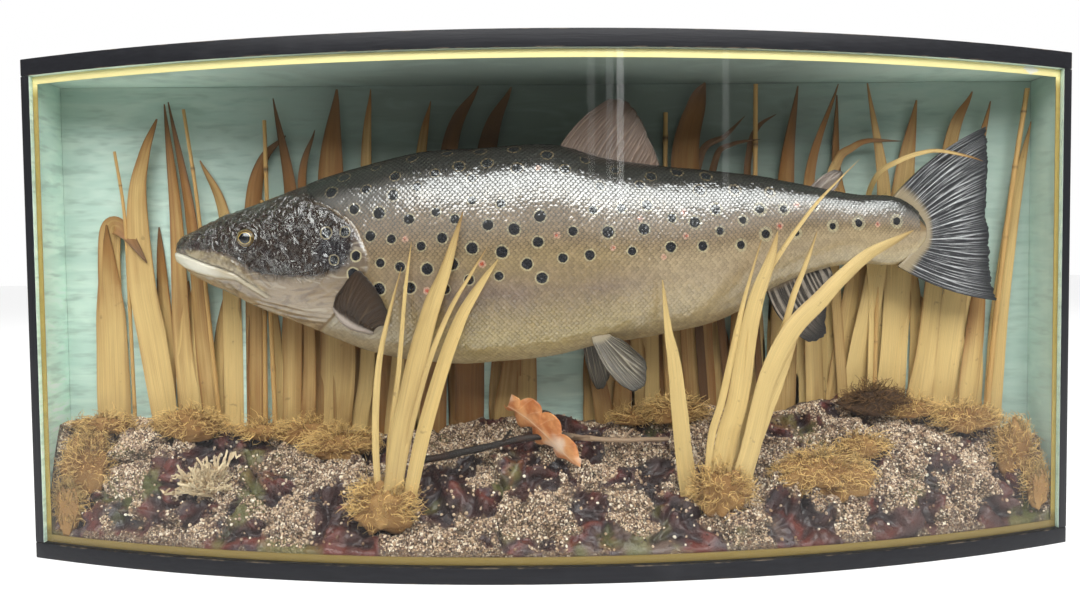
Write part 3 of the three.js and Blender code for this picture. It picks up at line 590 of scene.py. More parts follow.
class Finish:
    """A material, built up node by node."""

    def __init__(self, name):
        self.material = bpy.data.materials.new(name)
        self.material.use_nodes = True
        self.tree = self.material.node_tree
        self.tree.nodes.clear()
        self.place = self.node("TexCoord", output="Object")

    def node(self, kind, settings=None, inputs=None, output=0):
        """A node of this kind, with its settings and then the values or links of its inputs."""
        made = self.tree.nodes.new("ShaderNode" + kind)
        for key, value in (settings or {}).items():
            if key == "stops":
                self.fill_ramp(made.color_ramp, value)
            else:
                setattr(made, key, value)
        for key, value in (inputs or {}).items():
            if isinstance(value, Link):
                self.tree.links.new(value.socket, made.inputs[key])
            else:
                made.inputs[key].default_value = value
        return Link(self, made.outputs[output])

    @staticmethod
    def fill_ramp(ramp, stops):
        while len(ramp.elements) < len(stops):
            ramp.elements.new(1.0)
        for element, (place, colour) in zip(ramp.elements, stops):
            element.position = place
            element.color = (*colour, 1)

    def kept(self, name):
        """A number kept on each vertex."""
        return self.node("Attribute", {"attribute_name": name}, output="Fac")

    def axis(self, name):
        """One coordinate of the place: X, Y or Z."""
        return self.node("SeparateXYZ", {}, {0: self.place}, name)

    def scaled(self, x, y, z, place=None):
        return self.node("Mapping", {}, {"Vector": place or self.place, "Scale": (x, y, z)})

    def drawn_out(self, across, along, roughness=0.65):
        """Noise drawn out along a leaf or stem, on the piece's own Lie map."""
        lie = self.node("UVMap", {"uv_map": "Lie"})
        return self.noise(1.0, roughness, self.scaled(across, along, 1, lie))

    def noise(self, scale, roughness=0.55, place=None, distortion=0.0, detail=2.0, output=0):
        inputs = {
            "Vector": place or self.place, "Scale": scale, "Detail": detail, "Roughness": roughness,
            "Distortion": distortion,
        }
        return self.node("TexNoise", {}, inputs, output)

    def cells(self, scale):
        """How far a place is from the middle of its cell, and the cell's own colour."""
        far = self.node("TexVoronoi", {}, {"Vector": self.place, "Scale": scale}, "Distance")
        return far, Link(self, far.socket.node.outputs["Color"])

    def ramp(self, factor, *stops):
        return self.node("ValToRGB", {"stops": stops}, {"Fac": factor}, "Color")

    def mix(self, factor, a, b, kind="MIX"):
        settings = {"data_type": "RGBA", "blend_type": kind}
        return self.node("Mix", settings, {0: factor, 6: opaque(a), 7: opaque(b)}, 2)

    def shade(self, colour, factor):
        """A colour made lighter or darker by a number."""
        grey = self.node("CombineColor", {}, {0: factor, 1: factor, 2: factor})
        return self.mix(1.0, colour, grey, "MULTIPLY")

    def bump(self, height, distance, strength):
        inputs = {"Height": height, "Distance": distance, "Strength": strength}
        return self.node("Bump", {}, inputs, "Normal")

    def surface(self, colour, **inputs):
        """The finished material: a principled shader with these inputs, words joined by _."""
        named = {"Base Color": opaque(colour)}
        special = {"specular": "Specular IOR Level", "ior": "IOR", "coat_ior": "Coat IOR"}
        for key, value in inputs.items():
            named[special.get(key, key.replace("_", " ").title())] = value
        return self.output(self.node("BsdfPrincipled", {"distribution": "GGX"}, named))

    def output(self, shader):
        out = self.tree.nodes.new("ShaderNodeOutputMaterial")
        self.tree.links.new(shader.socket, out.inputs["Surface"])
        return self.material


def opaque(colour):
    """A colour with its alpha, or a link as it is."""
    return colour if isinstance(colour, Link) else (*colour[:3], 1)


def painted_wood_finish(name, stretch, painted):
    """Black-stained board, dusty and worn pale along its arrises, with the backboard's paint and its painted
    shade on its inner face, made lighter there as painted light.
    """
    finish = Finish(name)
    look = bpy.context.scene.trout_case
    grain = finish.noise(5.0, 0.6, finish.scaled(*stretch))
    dust = finish.noise(14.0, 0.7)
    colour = finish.mix(grain, look.wood_colour, (0.020, 0.021, 0.025))
    colour = finish.mix(dust.rise(0.55, 0.85) * 0.3, colour, (0.06, 0.06, 0.067))
    wear = finish.kept("worn") * finish.noise(60.0, 0.7).rise(0.48, 0.66)
    colour = finish.mix(wear, colour, (0.16, 0.125, 0.09))
    face = painted(finish)
    paint, _ = shaded_board_paint(finish)
    # Painted light: the inner faces get the backboard paint, painted shade included, made 1.5 times lighter.
    colour = finish.mix(face, colour, finish.shade(paint, 1.5))
    roughness = 0.34 + grain * 0.18 + dust.rise(0.5, 0.9) * 0.2
    roughness = roughness * (1 - face) + face * 0.75
    return finish.surface(colour, roughness=roughness, normal=finish.bump(grain, 0.0004, 0.5), specular=0.22)


def shaded_board_paint(finish):
    """Brushed turquoise distemper with painted shade: grey green towards the top where the top board shades
    it, less so towards both ends, and darker at the right end.
    """
    look = bpy.context.scene.trout_case
    strokes = finish.noise(7.0, 0.62, finish.scaled(1.6, 3, 9), 1.3)
    streaks = finish.noise(26.0, 0.7, finish.scaled(1, 1, 4.5))
    clouds = finish.noise(3.2)
    height = finish.axis("Z")
    base = finish.mix(strokes.rise(0.3, 0.75), look.paint_colour, (0.66, 0.80, 0.70))
    base = finish.mix(clouds.rise(0.45, 0.8) * 0.5, base, (0.36, 0.52, 0.48))
    base = finish.mix(streaks.rise(0.48, 0.72) * 0.55, base, (0.30, 0.40, 0.35))
    across = finish.axis("X")
    # Painted shade: the top board's shadow darkens the paint towards the top, less so towards both ends.
    ends = across.rise(-0.12, -0.40) * 0.75 + across.rise(0.16, 0.42) * 0.65
    shaded = height.rise(0.17, 0.43) * (0.72 + strokes * 0.5) * (1.05 - ends)
    base = finish.mix(shaded, base, (0.19, 0.225, 0.195))
    # Painted shade on the right end.
    base = finish.mix(across.rise(0.30, 0.46) * 0.5, base, (0.30, 0.38, 0.33))
    return base, finish.bump(streaks, 0.0006, 0.6)


def backboard_finish():
    """Paint with painted shade on the face inside the case, and old bare pine behind."""
    finish = Finish("painted_backboard")
    paint, bump = shaded_board_paint(finish)
    depth = finish.axis("Y")
    behind = depth.rise(BACKBOARD_Y + 1 * MM, BACKBOARD_Y + 2 * MM)
    grain = finish.noise(5.0, 0.6, finish.scaled(2, 30, 60))
    stain = finish.noise(6.0, 0.6)
    pine = finish.mix(grain, (0.24, 0.145, 0.072), (0.10, 0.056, 0.028))
    pine = finish.mix(stain.rise(0.5, 0.75) * 0.6, pine, (0.055, 0.036, 0.022))
    return finish.surface(finish.mix(behind, paint, pine), roughness=0.8, normal=bump)


# The knocked corner of the gilt slip: its [x, z] place and how far it reaches each way.
CHIP_PLACE = (448 * MM, 451.5 * MM)
CHIP_REACH = (15 * MM, 8 * MM)


def gilt_finish():
    """Gold paint over gesso, with a knocked corner that shows pale ground; the top slip is painted brighter
    as painted light, and the bottom slip darker.
    """
    finish = Finish("gilt_slip")
    look = bpy.context.scene.trout_case
    flecks = finish.noise(130.0, 0.7)
    colour = finish.mix(flecks.rise(0.45, 0.8) * 0.5, look.gilt_colour, (0.34, 0.24, 0.07))
    x, z = finish.axis("X"), finish.axis("Z")
    # Painted light: the top slip is painted brighter, in place of light that the overhang of the top board
    # keeps off it.
    colour = finish.mix(z.rise(0.435, 0.450), colour, (1.0, 0.86, 0.40))
    # Darker towards the bottom.
    colour = finish.mix(z.rise(0.035, 0.025), colour, (0.27, 0.185, 0.05))
    spread = (abs(x - CHIP_PLACE[0]) / CHIP_REACH[0]) + (abs(z - CHIP_PLACE[1]) / CHIP_REACH[1])
    chip = (spread + finish.noise(140.0) * 1.2).rise(1.35, 1.2)
    colour = finish.mix(chip, colour, (0.85, 0.80, 0.68))
    # Less metallic along the top, part of the same painted light.
    metallic = (0.45 - z.rise(0.435, 0.450) * 0.35) * (1 - chip)
    bump = finish.bump(flecks * 0.3 - chip * 1.5, 0.0003, 0.6)
    return finish.surface(colour, roughness=0.42 + flecks * 0.15, metallic=metallic, normal=bump)


def glass_finish():
    """Clear glass that lets light straight through and mirrors a little."""
    finish = Finish("bent_glass")
    facing = finish.node("LayerWeight", {}, {"Blend": 0.12}, "Facing")
    mirror = 0.006 + facing * 0.13
    clear = finish.node("BsdfTransparent", {}, {"Color": (0.985, 0.995, 0.99, 1)})
    gloss = finish.node("BsdfGlossy", {}, {"Color": (1, 1, 1, 1), "Roughness": 0.012})
    return finish.output(finish.node("MixShader", {}, {0: mirror, 1: clear, 2: gloss}))


def head_colours(finish, flank, mottle, fine):
    """The head's colours over the flank's: dark cheek, creased jaw, blue blotch, jowl and pale lips."""
    level, head, place_x = finish.kept("level"), finish.kept("head"), finish.axis("X")
    violet = finish.noise(13.0, 0.5).rise(0.5, 0.8)
    dark = (finish.kept("dark") + (mottle - 0.5) * 0.35 + (fine - 0.5) * 0.2).rise(0.30, 0.66)
    cheek = finish.mix(violet, (0.034, 0.020, 0.014), (0.066, 0.038, 0.040))
    cheek = finish.mix(fine.rise(0.4, 0.75) * 0.6, cheek, (0.012, 0.011, 0.014))
    jaw = finish.ramp(
        level + (mottle - 0.5) * 0.2,
        (0.0, (0.36, 0.27, 0.17)), (0.22, (0.29, 0.205, 0.125)), (0.42, (0.165, 0.115, 0.072)),
        (0.62, (0.11, 0.08, 0.068)), (0.85, (0.09, 0.07, 0.065)),
    )
    streaks = finish.noise(60.0, 0.7, finish.scaled(0.45, 1, 1.7), 1.0)
    jaw = finish.mix(streaks.rise(0.50, 0.68) * 0.65, jaw, (0.13, 0.085, 0.06))
    jaw = finish.mix(streaks.rise(0.46, 0.34) * 0.5, jaw, (0.46, 0.38, 0.28))
    colour = finish.mix(head, flank, finish.mix(dark, jaw, cheek))
    blue = finish.kept("blotch") * (0.5 + violet * 0.4)
    colour = finish.mix(blue, colour, (0.010, 0.011, 0.020))
    jowl = finish.mix(fine.rise(0.3, 0.7), (0.16, 0.115, 0.06), (0.44, 0.35, 0.21))
    colour = finish.mix(finish.kept("plate") * 0.8, colour, jowl)
    lip = finish.mix(streaks.rise(0.5, 0.75) * 0.5, (0.72, 0.66, 0.54), (0.46, 0.37, 0.25))
    lip = finish.mix(place_x.rise(-0.322, -0.300), lip, (0.48, 0.40, 0.28))
    return finish.mix(finish.kept("lip"), colour, lip), dark * head


def marked_skin(finish, with_head=False):
    """The trout's colours and spots, shared by its skin and by its scales, which have no head."""
    look = bpy.context.scene.trout_fish
    level = finish.kept("level")
    mottle = finish.noise(22.0, 0.6)
    fine = finish.noise(150.0, 0.6)
    flank = finish.ramp(
        level + (mottle - 0.5) * 0.13,
        (0.0, (0.56, 0.44, 0.26)), (0.10, (0.42, 0.31, 0.125)), (0.2, (0.30, 0.21, 0.085)),
        (0.33, (0.215, 0.145, 0.10)), (0.47, look.flank_colour), (0.66, (0.265, 0.172, 0.088)),
        (0.80, (0.070, 0.054, 0.036)), (0.89, look.back_colour),
    )
    gold = finish.noise(9.0, 0.5, finish.scaled(0.5, 1, 1.4)).rise(0.45, 0.72)
    flank = finish.mix(gold * level.rise(0.85, 0.5) * 0.5, flank, (0.36, 0.255, 0.095))
    place_x = finish.axis("X")
    flank = finish.mix(place_x.rise(-0.11, -0.19) * level.rise(0.34, 0.14) * 0.8, flank, (0.40, 0.32, 0.22))
    rear = place_x.rise(0.03, 0.12) * level.rise(0.56, 0.40)
    colour = finish.mix(rear * 0.6, flank, (0.50, 0.38, 0.22))
    ring = finish.mix(level.rise(0.70, 0.92), (0.46, 0.39, 0.235), (0.16, 0.115, 0.06))
    if with_head:
        colour, shaded = head_colours(finish, colour, mottle, fine)
        ring = finish.mix(shaded * 0.8, ring, (0.22, 0.18, 0.11))
    tailward = place_x.rise(0.10, 0.24)
    wobble = (finish.noise(210.0) - 0.5) * 0.34
    spot = finish.kept("spot") + wobble
    halo = (spot - tailward * 0.12).rise(1.38, 1.24)
    core = (spot + tailward * 0.24).rise(1.08, 0.98)
    colour = finish.mix(halo * 0.85, colour, ring)
    colour = finish.mix(core, colour, (0.006, 0.006, 0.009))
    red = finish.kept("red") + wobble * 0.6
    colour = finish.mix(red.rise(1.15, 1.0) * 0.85, colour, (0.62, 0.36, 0.25))
    colour = finish.mix(red.rise(0.72, 0.52), colour, (0.52, 0.085, 0.04))
    return colour, core, level, fine


def skin_finish():
    """Varnished skin of the head and of what shows between the scales."""
    finish = Finish("trout_skin")
    colour, _, _, fine = marked_skin(finish, with_head=True)
    wrinkles = finish.noise(300.0, 0.5, finish.scaled(0.7, 1, 1.2), 1.0, detail=1.0)
    folds = finish.noise(95.0, 0.5, finish.scaled(0.6, 1, 1.3), 1.2)
    wander = finish.noise(34.0, 0.5, output="Color")
    strayed = finish.node("VectorMath", {"operation": "MULTIPLY_ADD"}, {
        0: wander, 1: (0.035, 0.035, 0.035), 2: finish.scaled(1.5, 0.8, 0.8),
    }, "Vector")
    crumple = 1 - abs(finish.noise(95.0, 0.5, strayed, 1.1, detail=1.6) * 2 - 1) * 1.6
    shrunk = finish.kept("head") * finish.kept("dark").rise(0.05, 0.6)
    bump = finish.bump(wrinkles * 0.2 + folds * 0.5 + crumple * shrunk * 1.9, 0.001, 0.95)
    return finish.surface(
        colour, roughness=0.15 + fine * 0.12, normal=bump, coat_weight=0.25, coat_roughness=0.1,
        coat_ior=1.7, ior=1.9, specular=0.5,
    )


def scale_finish():
    """Scales with silver in them on the upper flank, each with a dark rim, partly its own colour and partly
    painted shade under its edge step, under old varnish.
    """
    finish = Finish("trout_scales")
    colour, core, level, fine = marked_skin(finish)
    tint = finish.kept("tint")
    rim = finish.kept("rim")
    # The rim darkening is partly the scale's own dark edge and partly painted shade of the step at its edge,
    # painted strongest on the upper flank.
    edge = rim.rise(0.50, 0.85)
    colour = finish.shade(colour, 1.0 + tint * 0.12 - edge * (0.24 + level.rise(0.35, 0.72) * 0.62))
    silver = level.rise(0.50, 0.66) * level.rise(0.90, 0.80) * (1 - core * 0.85)
    colour = finish.mix(silver * 0.25, colour, (0.40, 0.38, 0.37))
    bump = finish.bump(fine, 0.0008, 0.6)
    return finish.surface(
        colour, roughness=0.30 + fine * 0.14 + edge * 0.4, metallic=silver * (1 - edge) * 0.12, normal=bump,
        coat_weight=1.0 - edge * 0.92, coat_roughness=0.11, coat_ior=2.05, specular=0.35,
    )


def eye_finish():
    """Black pupil, a thin gold ring and a brown iris flecked with gold."""
    finish = Finish("glass_eye")
    ring = finish.kept("ring")
    flecks = finish.noise(420.0, 0.7)
    colour = finish.ramp(
        ring + (flecks - 0.5) * 0.05,
        (0.0, (0.002, 0.002, 0.003)), (0.43, (0.002, 0.002, 0.003)), (0.455, (0.62, 0.43, 0.12)),
        (0.490, (0.34, 0.215, 0.06)), (0.525, (0.08, 0.048, 0.016)), (0.66, (0.15, 0.092, 0.030)),
        (0.75, (0.05, 0.032, 0.015)), (0.84, (0.008, 0.006, 0.005)),
    )
    colour = finish.mix(flecks.rise(0.55, 0.7) * ring.rise(0.5, 0.56) * 0.5, colour, (0.40, 0.27, 0.07))
    return finish.surface(colour, roughness=0.25, coat_weight=1.0, coat_roughness=0.015, specular=0.7)


def fin_finish(name, membrane, ray, tip, base, far=1.3):
    """Dried fin: rays over a membrane that darkens to its edge, with a paler fleshy root; on the tail fin the
    rays and light streaks are painted highlights.
    """
    finish = Finish(name)
    ridge, reach = finish.kept("ray"), finish.kept("reach")
    fine = finish.noise(160.0, 0.7)
    clouds = finish.noise(38.0, 0.6)
    colour = finish.mix(clouds.rise(0.35, 0.7) * 0.5, membrane, tip)
    # Rays and light streaks take the ray colour, which on the tail fin is painted highlight along its glossy
    # ridges.
    rays_pale_and_glinting = ridge.rise(0.35, 0.9) * (0.35 + fine * 0.9) * reach.rise(far, far * 0.35)
    colour = finish.mix(rays_pale_and_glinting, colour, ray)
    lie = finish.node("CombineXYZ", {}, {0: finish.kept("across") * 170, 1: reach * 4})
    streaks = finish.noise(1.0, 0.65, lie)
    colour = finish.mix(streaks.rise(0.55, 0.72) * reach.rise(1.15, 0.3) * 0.6, colour, ray)
    colour = finish.mix(streaks.rise(0.46, 0.32) * 0.7, colour, tip)
    colour = finish.mix(reach.rise(0.78, 1.0) * 0.7, colour, tip)
    colour = finish.mix(reach.rise(0.16, 0.07), colour, base)
    bump = finish.bump(fine + ridge * 0.6, 0.0005, 0.5)
    return finish.surface(colour, roughness=0.32 + fine * 0.2, normal=bump, specular=0.42)


def reed_finish(name, pale, brown):
    """Dried leaf with fibres along it, browned in streaks and at its tip."""
    finish = Finish(name)
    fibres = finish.drawn_out(1500, 14)
    bands = finish.drawn_out(260, 5, 0.6)
    stains = finish.drawn_out(45, 13, 0.6)
    tone = finish.kept("tone")
    brownness = tone + (stains - 0.5) * 0.7 + (bands - 0.5) * 0.55
    colour = finish.mix(brownness.rise(0.1, 1.0), pale, brown)
    colour = finish.mix(tone.rise(0.85, 1.35), colour, (0.12, 0.052, 0.015))
    colour = finish.shade(colour, 0.62 + fibres * 0.62)
    specks = finish.noise(90.0, 0.75).rise(0.66, 0.74)
    colour = finish.mix(specks * 0.4, colour, (0.14, 0.08, 0.03))
    bump = finish.bump(fibres, 0.0007, 0.7)
    return finish.surface(colour, roughness=0.46 + fibres * 0.2, normal=bump)


def stem_finish():
    """Hard orange-tan cane with dark nodes."""
    finish = Finish("dried_stem")
    fibres = finish.drawn_out(900, 10)
    tone = finish.kept("tone")
    colour = finish.mix(fibres, (0.42, 0.23, 0.075), (0.60, 0.37, 0.13))
    colour = finish.mix(tone.rise(0.3, 0.9), colour, (0.10, 0.05, 0.02))
    return finish.surface(colour, roughness=0.38 + fibres * 0.2, normal=finish.bump(fibres, 0.0004, 0.6))


def rock_finish():
    """Painted rockwork: red and purple browns, painted shade in the hollows, green stains and old gloss
    paint.
    """
    finish = Finish("painted_rockwork")
    look = bpy.context.scene.trout_ground
    broad = finish.noise(16.0, 0.6)
    patches = finish.noise(30.0, 0.6)
    fine = finish.noise(240.0, 0.75)
    grain, grain_colour = finish.cells(620.0)
    colour = finish.ramp(
        broad + (patches - 0.5) * 0.5,
        (0.28, (0.018, 0.008, 0.009)), (0.42, look.rock_colour), (0.52, (0.13, 0.026, 0.017)),
        (0.62, (0.050, 0.026, 0.030)), (0.74, (0.14, 0.09, 0.07)),
    )
    green = finish.noise(19.0).rise(0.58, 0.68)
    hue = finish.node("SeparateColor", {}, {0: grain_colour}, 0)
    sand = finish.ramp(
        hue, (0.0, (0.07, 0.032, 0.022)), (0.25, (0.32, 0.20, 0.115)), (0.5, (0.46, 0.33, 0.21)),
        (0.7, (0.12, 0.08, 0.07)), (0.9, (0.72, 0.58, 0.42)),
    )
    sand = finish.shade(sand, 1.1 - grain * 0.9)
    crust = (finish.kept("grit") + (fine - 0.5) * 0.7).rise(0.24, 0.56)
    # Painted shade: near black laid into the hollows between boulders and knobs.
    colour = finish.mix(finish.kept("hollow").rise(0.3, 1.0) * 0.75, colour, (0.010, 0.006, 0.008))
    colour = finish.mix(crust * 0.85, colour, sand)
    colour = finish.mix(green * 0.45, colour, (0.20, 0.21, 0.055))
    gloss = 0.38 + crust * 0.35 + fine * 0.3
    bump = finish.bump(fine * 1.2 - grain * crust * 1.2, 0.0016, 0.8)
    return finish.surface(
        colour, roughness=gloss, normal=bump, coat_weight=(1 - crust) * 0.2, coat_roughness=0.12,
    )


def grain_finish(name, *stops):
    """Grit whose grains differ from one another."""
    finish = Finish(name)
    colour = finish.ramp(finish.kept("tint"), *stops)
    fine = finish.noise(900.0)
    return finish.surface(finish.shade(colour, 0.85 + fine * 0.3), roughness=0.38 + fine * 0.3)


def moss_finish(name, light, dark):
    """Dried moss, ochre at its tips and brown within, partly its own brown stems and partly painted shade
    inside the clump.
    """
    finish = Finish(name)
    tint = finish.kept("tint")
    clouds = finish.noise(45.0)
    colour = finish.mix(tint * 0.75 + clouds * 0.35, light, dark)
    return finish.surface(colour, roughness=0.85)


def lichen_finish():
    """Pale dried lichen with browner roots."""
    finish = Finish("pale_lichen")
    tint, fine = finish.kept("tint"), finish.noise(500.0)
    colour = finish.mix(tint, (0.32, 0.20, 0.10), (0.74, 0.60, 0.39))
    colour = finish.shade(colour, 0.8 + fine * 0.4)
    return finish.surface(colour, roughness=0.85, normal=finish.bump(fine, 0.0005, 0.7))


def bark_finish():
    """Grey bark that has worn off the twig's far half."""
    finish = Finish("dry_twig")
    bark = finish.drawn_out(700, 60, 0.7)
    patches = finish.noise(40.0)
    colour = finish.mix(bark, (0.006, 0.005, 0.005), (0.055, 0.045, 0.040))
    colour = finish.mix(patches.rise(0.5, 0.7) * 0.7, colour, (0.06, 0.030, 0.021))
    beyond = finish.axis("X").rise(0.0, 0.03)
    colour = finish.mix(beyond * (0.5 + bark * 0.5), colour, (0.46, 0.31, 0.20))
    return finish.surface(colour, roughness=0.6, normal=finish.bump(bark, 0.0009, 0.9), specular=0.25)


def leaf_finish():
    """Dry orange-brown leaf, faded in patches, with pale veins."""
    finish = Finish("dry_oak_leaf")
    vein, fine = finish.kept("vein"), finish.noise(70.0, 0.65)
    colour = finish.mix(fine.rise(0.35, 0.7), (0.55, 0.17, 0.05), (0.80, 0.36, 0.14))
    colour = finish.mix(finish.noise(22.0).rise(0.52, 0.62) * 0.75, colour, (0.92, 0.74, 0.58))
    colour = finish.mix(vein.rise(0.15, 0.9) * 0.8, colour, (0.90, 0.60, 0.38))
    bump = finish.bump(vein + fine, 0.0006, 0.7)
    return finish.surface(colour, roughness=0.48 + fine * 0.2, normal=bump)


def floor_finish():
    """Pale paper, lit from within near the case and greyer in front of it."""
    finish = Finish("pale_floor")
    fine = finish.noise(3.0)
    colour = finish.mix(fine, (0.42, 0.42, 0.42), (0.45, 0.45, 0.45))
    depth = finish.axis("Y")
    ahead = depth.rise(-0.18, -0.80)
    colour = finish.mix(ahead, colour, (0.20, 0.20, 0.20))
    glow = finish.mix(ahead, (1.0, 1.0, 1.0), (0.16, 0.16, 0.16))
    return finish.surface(colour, roughness=0.8, specular=0.1, emission_color=glow, emission_strength=0.72)


# ---------------------------------------------------------------- the case


def bow_y(x, set_back=0.0):
    """The front of the case at x, or a surface set back behind it."""
    return BOW_CENTRE_Y - np.sqrt((BOW_RADIUS - set_back) ** 2 - np.asarray(x) ** 2)


def add_board(name, low, high, cuts=0, front=None, back=None, arris=1.2 * MM):
    """A board between two corners whose front and back may follow a bow, with eased arrises."""
    low, high = np.array(low), np.array(high)
    deselect()
    bpy.ops.mesh.primitive_cube_add(size=1, location=(low + high) / 2, scale=high - low)
    piece = settle(bpy.context.object)
    with editing(piece) as bm:
        if cuts:
            choose(bm, "edges", lambda e: abs((e.verts[0].co - e.verts[1].co).normalized().x) > 0.9)
            bpy.ops.mesh.subdivide(number_cuts=cuts)
        for vert in bm.verts:
            edge = front if vert.co.y < (low[1] + high[1]) / 2 else back
            if edge is not None:
                vert.co.y = edge(vert.co.x)
        if arris:
            bpy.ops.mesh.select_all(action="DESELECT")
            bpy.ops.mesh.select_mode(type="EDGE")
            bpy.ops.mesh.edges_select_sharp(sharpness=math.radians(50))
            bpy.ops.mesh.bevel(offset=arris, segments=2, profile=0.6)
    if arris:
        points = places_of(piece)
        lower, upper = points.min(0), points.max(0)
        near_z = np.minimum(points[:, 2] - lower[2], upper[2] - points[:, 2])
        near_x = np.minimum(points[:, 0] - lower[0], upper[0] - points[:, 0])
        near_y = np.abs(points[:, 1] - (front(points[:, 0]) if front else lower[1]))
        near = np.sort(np.stack([near_x, near_y, near_z]), axis=0)
        note(piece, "worn", (near[1] < 0.9 * arris) & (near[1] > 0.05 * MM))
    piece.name = name
    pick(piece)
    bpy.ops.object.shade_smooth_by_angle(angle=math.radians(35))
    return piece


def build_case():
    """The boards, and the finish of the back and the mount block."""
    cuts = bpy.context.scene.trout_case.bow_cuts
    back_y = CASE_HIGH[1]
    boards = {
        "case_base": ((-HALF_WIDTH, CASE_LOW[1], 0), (HALF_WIDTH, back_y, FLOOR_Z)),
        "case_top": ((-HALF_WIDTH, CASE_LOW[1], CEILING_Z), (HALF_WIDTH, back_y, CASE_HIGH[2])),
    }
    lengthwise = painted_wood_finish("ebonised_lengthwise", (3, 70, 70), ceiling_face)
    upright = painted_wood_finish("ebonised_upright", (70, 70, 3), lining_face)
    for name, (low, high) in boards.items():
        board = add_board(name, low, high, cuts, front=bow_y)
        shown(board, lengthwise, "ebonised_wood", name, name=name + "_board")
    for name, side in (("case_side_left", -1), ("case_side_right", 1)):
        edges = sorted([side * HALF_WIDTH, side * INSIDE_X])
        low = (edges[0], bow_y(HALF_WIDTH), FLOOR_Z + GAP / 2)
        high = (edges[1], back_y, CEILING_Z - GAP / 2)
        board = add_board(name, low, high, 2, front=bow_y, arris=0.8 * MM)
        shown(board, upright, "ebonised_wood", name, name=name + "_board")
    paint_node("case_back", backboard_finish())
    paint_node("mount_block", upright)


def ceiling_face(finish):
    """1 on the underside of the top board, inside the case."""
    z = finish.axis("Z")
    under = z.rise(CEILING_Z + 0.2 * MM, CEILING_Z + 0.1 * MM)
    return under * z.rise(CEILING_Z - 5 * MM, CEILING_Z - 4 * MM)


def lining_face(finish):
    """1 on the inner faces of the side boards."""
    x = abs(finish.axis("X"))
    return x.rise(INSIDE_X + 0.3 * MM, INSIDE_X + 0.2 * MM)


def build_glazing():
    """The bowed pane and the four gilt slips behind its edges."""
    cuts = bpy.context.scene.trout_case.bow_cuts
    edge = INSIDE_X - GAP
    low_z, high_z = FLOOR_Z + GAP, CEILING_Z - GAP
    # The bow moves each board's front and back, so this only tells them apart.
    front_y = -70 * MM
    inner = GLASS["set_back"] + GLASS["thickness"]
    pane = add_board(
        "glass", (-edge, front_y, low_z), (edge, 0, high_z), cuts,
        front=lambda x: bow_y(x, GLASS["set_back"]), back=lambda x: bow_y(x, inner), arris=0,
    )
    shown(pane, glass_finish(), "bent_glass", "glass_front", name="glass_pane")
    gold = gilt_finish()
    slip_front = inner + GAP
    slip_back = slip_front + GILT["thickness"]
    follow = {"front": lambda x: bow_y(x, slip_front), "back": lambda x: bow_y(x, slip_back)}
    strips = {
        "gilt_bottom": (-edge, edge, low_z, low_z + GILT["width"]),
        "gilt_top": (-edge, edge, high_z - GILT["width"], high_z),
        "gilt_left": (-edge, -edge + GILT["side"], low_z + GILT["width"], high_z - GILT["width"]),
        "gilt_right": (edge - GILT["side"], edge, low_z + GILT["width"], high_z - GILT["width"]),
    }
    for name, (x0, x1, z0, z1) in strips.items():
        strip_cuts = cuts if x1 - x0 > BOW_DEPTH else 2
        strip = add_board(name, (x0, front_y, z0), (x1, 0, z1), strip_cuts, arris=0.2 * MM, **follow)
        shown(strip, gold, "gilt", name, name=name + "_slip")


# ---------------------------------------------------------------- the trout


def grid_piece(name, columns, rows, place):
    """A grid primitive moved on to place(u, v), u and v from 0 to 1 across its columns and rows."""
    deselect()
    bpy.ops.mesh.primitive_grid_add(x_subdivisions=columns, y_subdivisions=rows, size=2)
    piece = bpy.context.object
    flat = places_of(piece)
    u, v = (flat[:, 0] + 1) / 2, (flat[:, 1] + 1) / 2
    move_to(piece, place(u, v))
    piece.name = name
    piece.data.shade_smooth()
    return piece, u, v


def stations():
    """Where the skin's rings stand: closest together on the head and at both ends."""
    first, last = BODY[0, 0] + SKIN_INSET, BODY[-1, 0] - SKIN_INSET
    x = np.linspace(first, last, 8000)
    step = lerp(1.25, 3.3, smooth_step(x, HEAD_END_X, HEAD_END_X + 0.04))
    step -= smooth_step(x, 0.27, 0.33)
    step = np.minimum(step * MM, 0.25 * MM + 0.3 * np.minimum(x - first, last - x))
    count = np.cumsum(1 / step) * (x[1] - x[0])
    return np.interp(np.linspace(count[0], count[-1], int(count[-1]) + 1), count, x)


def head_marks():
    """The head's lines as rows of (x, z) places on the flank."""
    lines = {
        "mouth": SEEN_MOUTH, "lip_edge": SEEN_LIP_EDGE, "gill_edge": SEEN_GILL_EDGE,
        "preopercle": SEEN_PREOPERCLE, "cheek": SEEN_CHEEK, "subopercle": SEEN_SUBOPERCLE,
        "dark_edge": SEEN_DARK_EDGE,
    }
    found = {name: side_line(seen) for name, seen in lines.items()}
    found["jaw_plate"] = on_flank(SEEN_JAW_PLATE)[:, [0, 2]]
    found["folds"] = [side_line(seen, 12) for seen in SEEN_FOLDS]
    found["ridges"] = [side_line(seen, 12) for seen in SEEN_RIDGES]
    found["nostrils"] = on_flank(SEEN_NOSTRILS)[:, [0, 2]]
    ahead = found["mouth"][0] - [0.02, -0.002]
    found["mouth"] = np.vstack([ahead, found["mouth"]])
    found["lip"] = np.vstack([found["mouth"], found["lip_edge"][::-1], [[-0.38, found["lip_edge"][0, 1]]]])
    return found


def dip(far, width):
    """A soft bump: 1 where far is 0, fading to nothing some two widths away."""
    return np.exp(-((far / width) ** 2))


def behind_gills(marks, x, z):
    """How far behind the edge of the gill cover each place is, less than 0 on the head."""
    far, side, _ = line_distance(marks["gill_edge"], x, z)
    return far * side


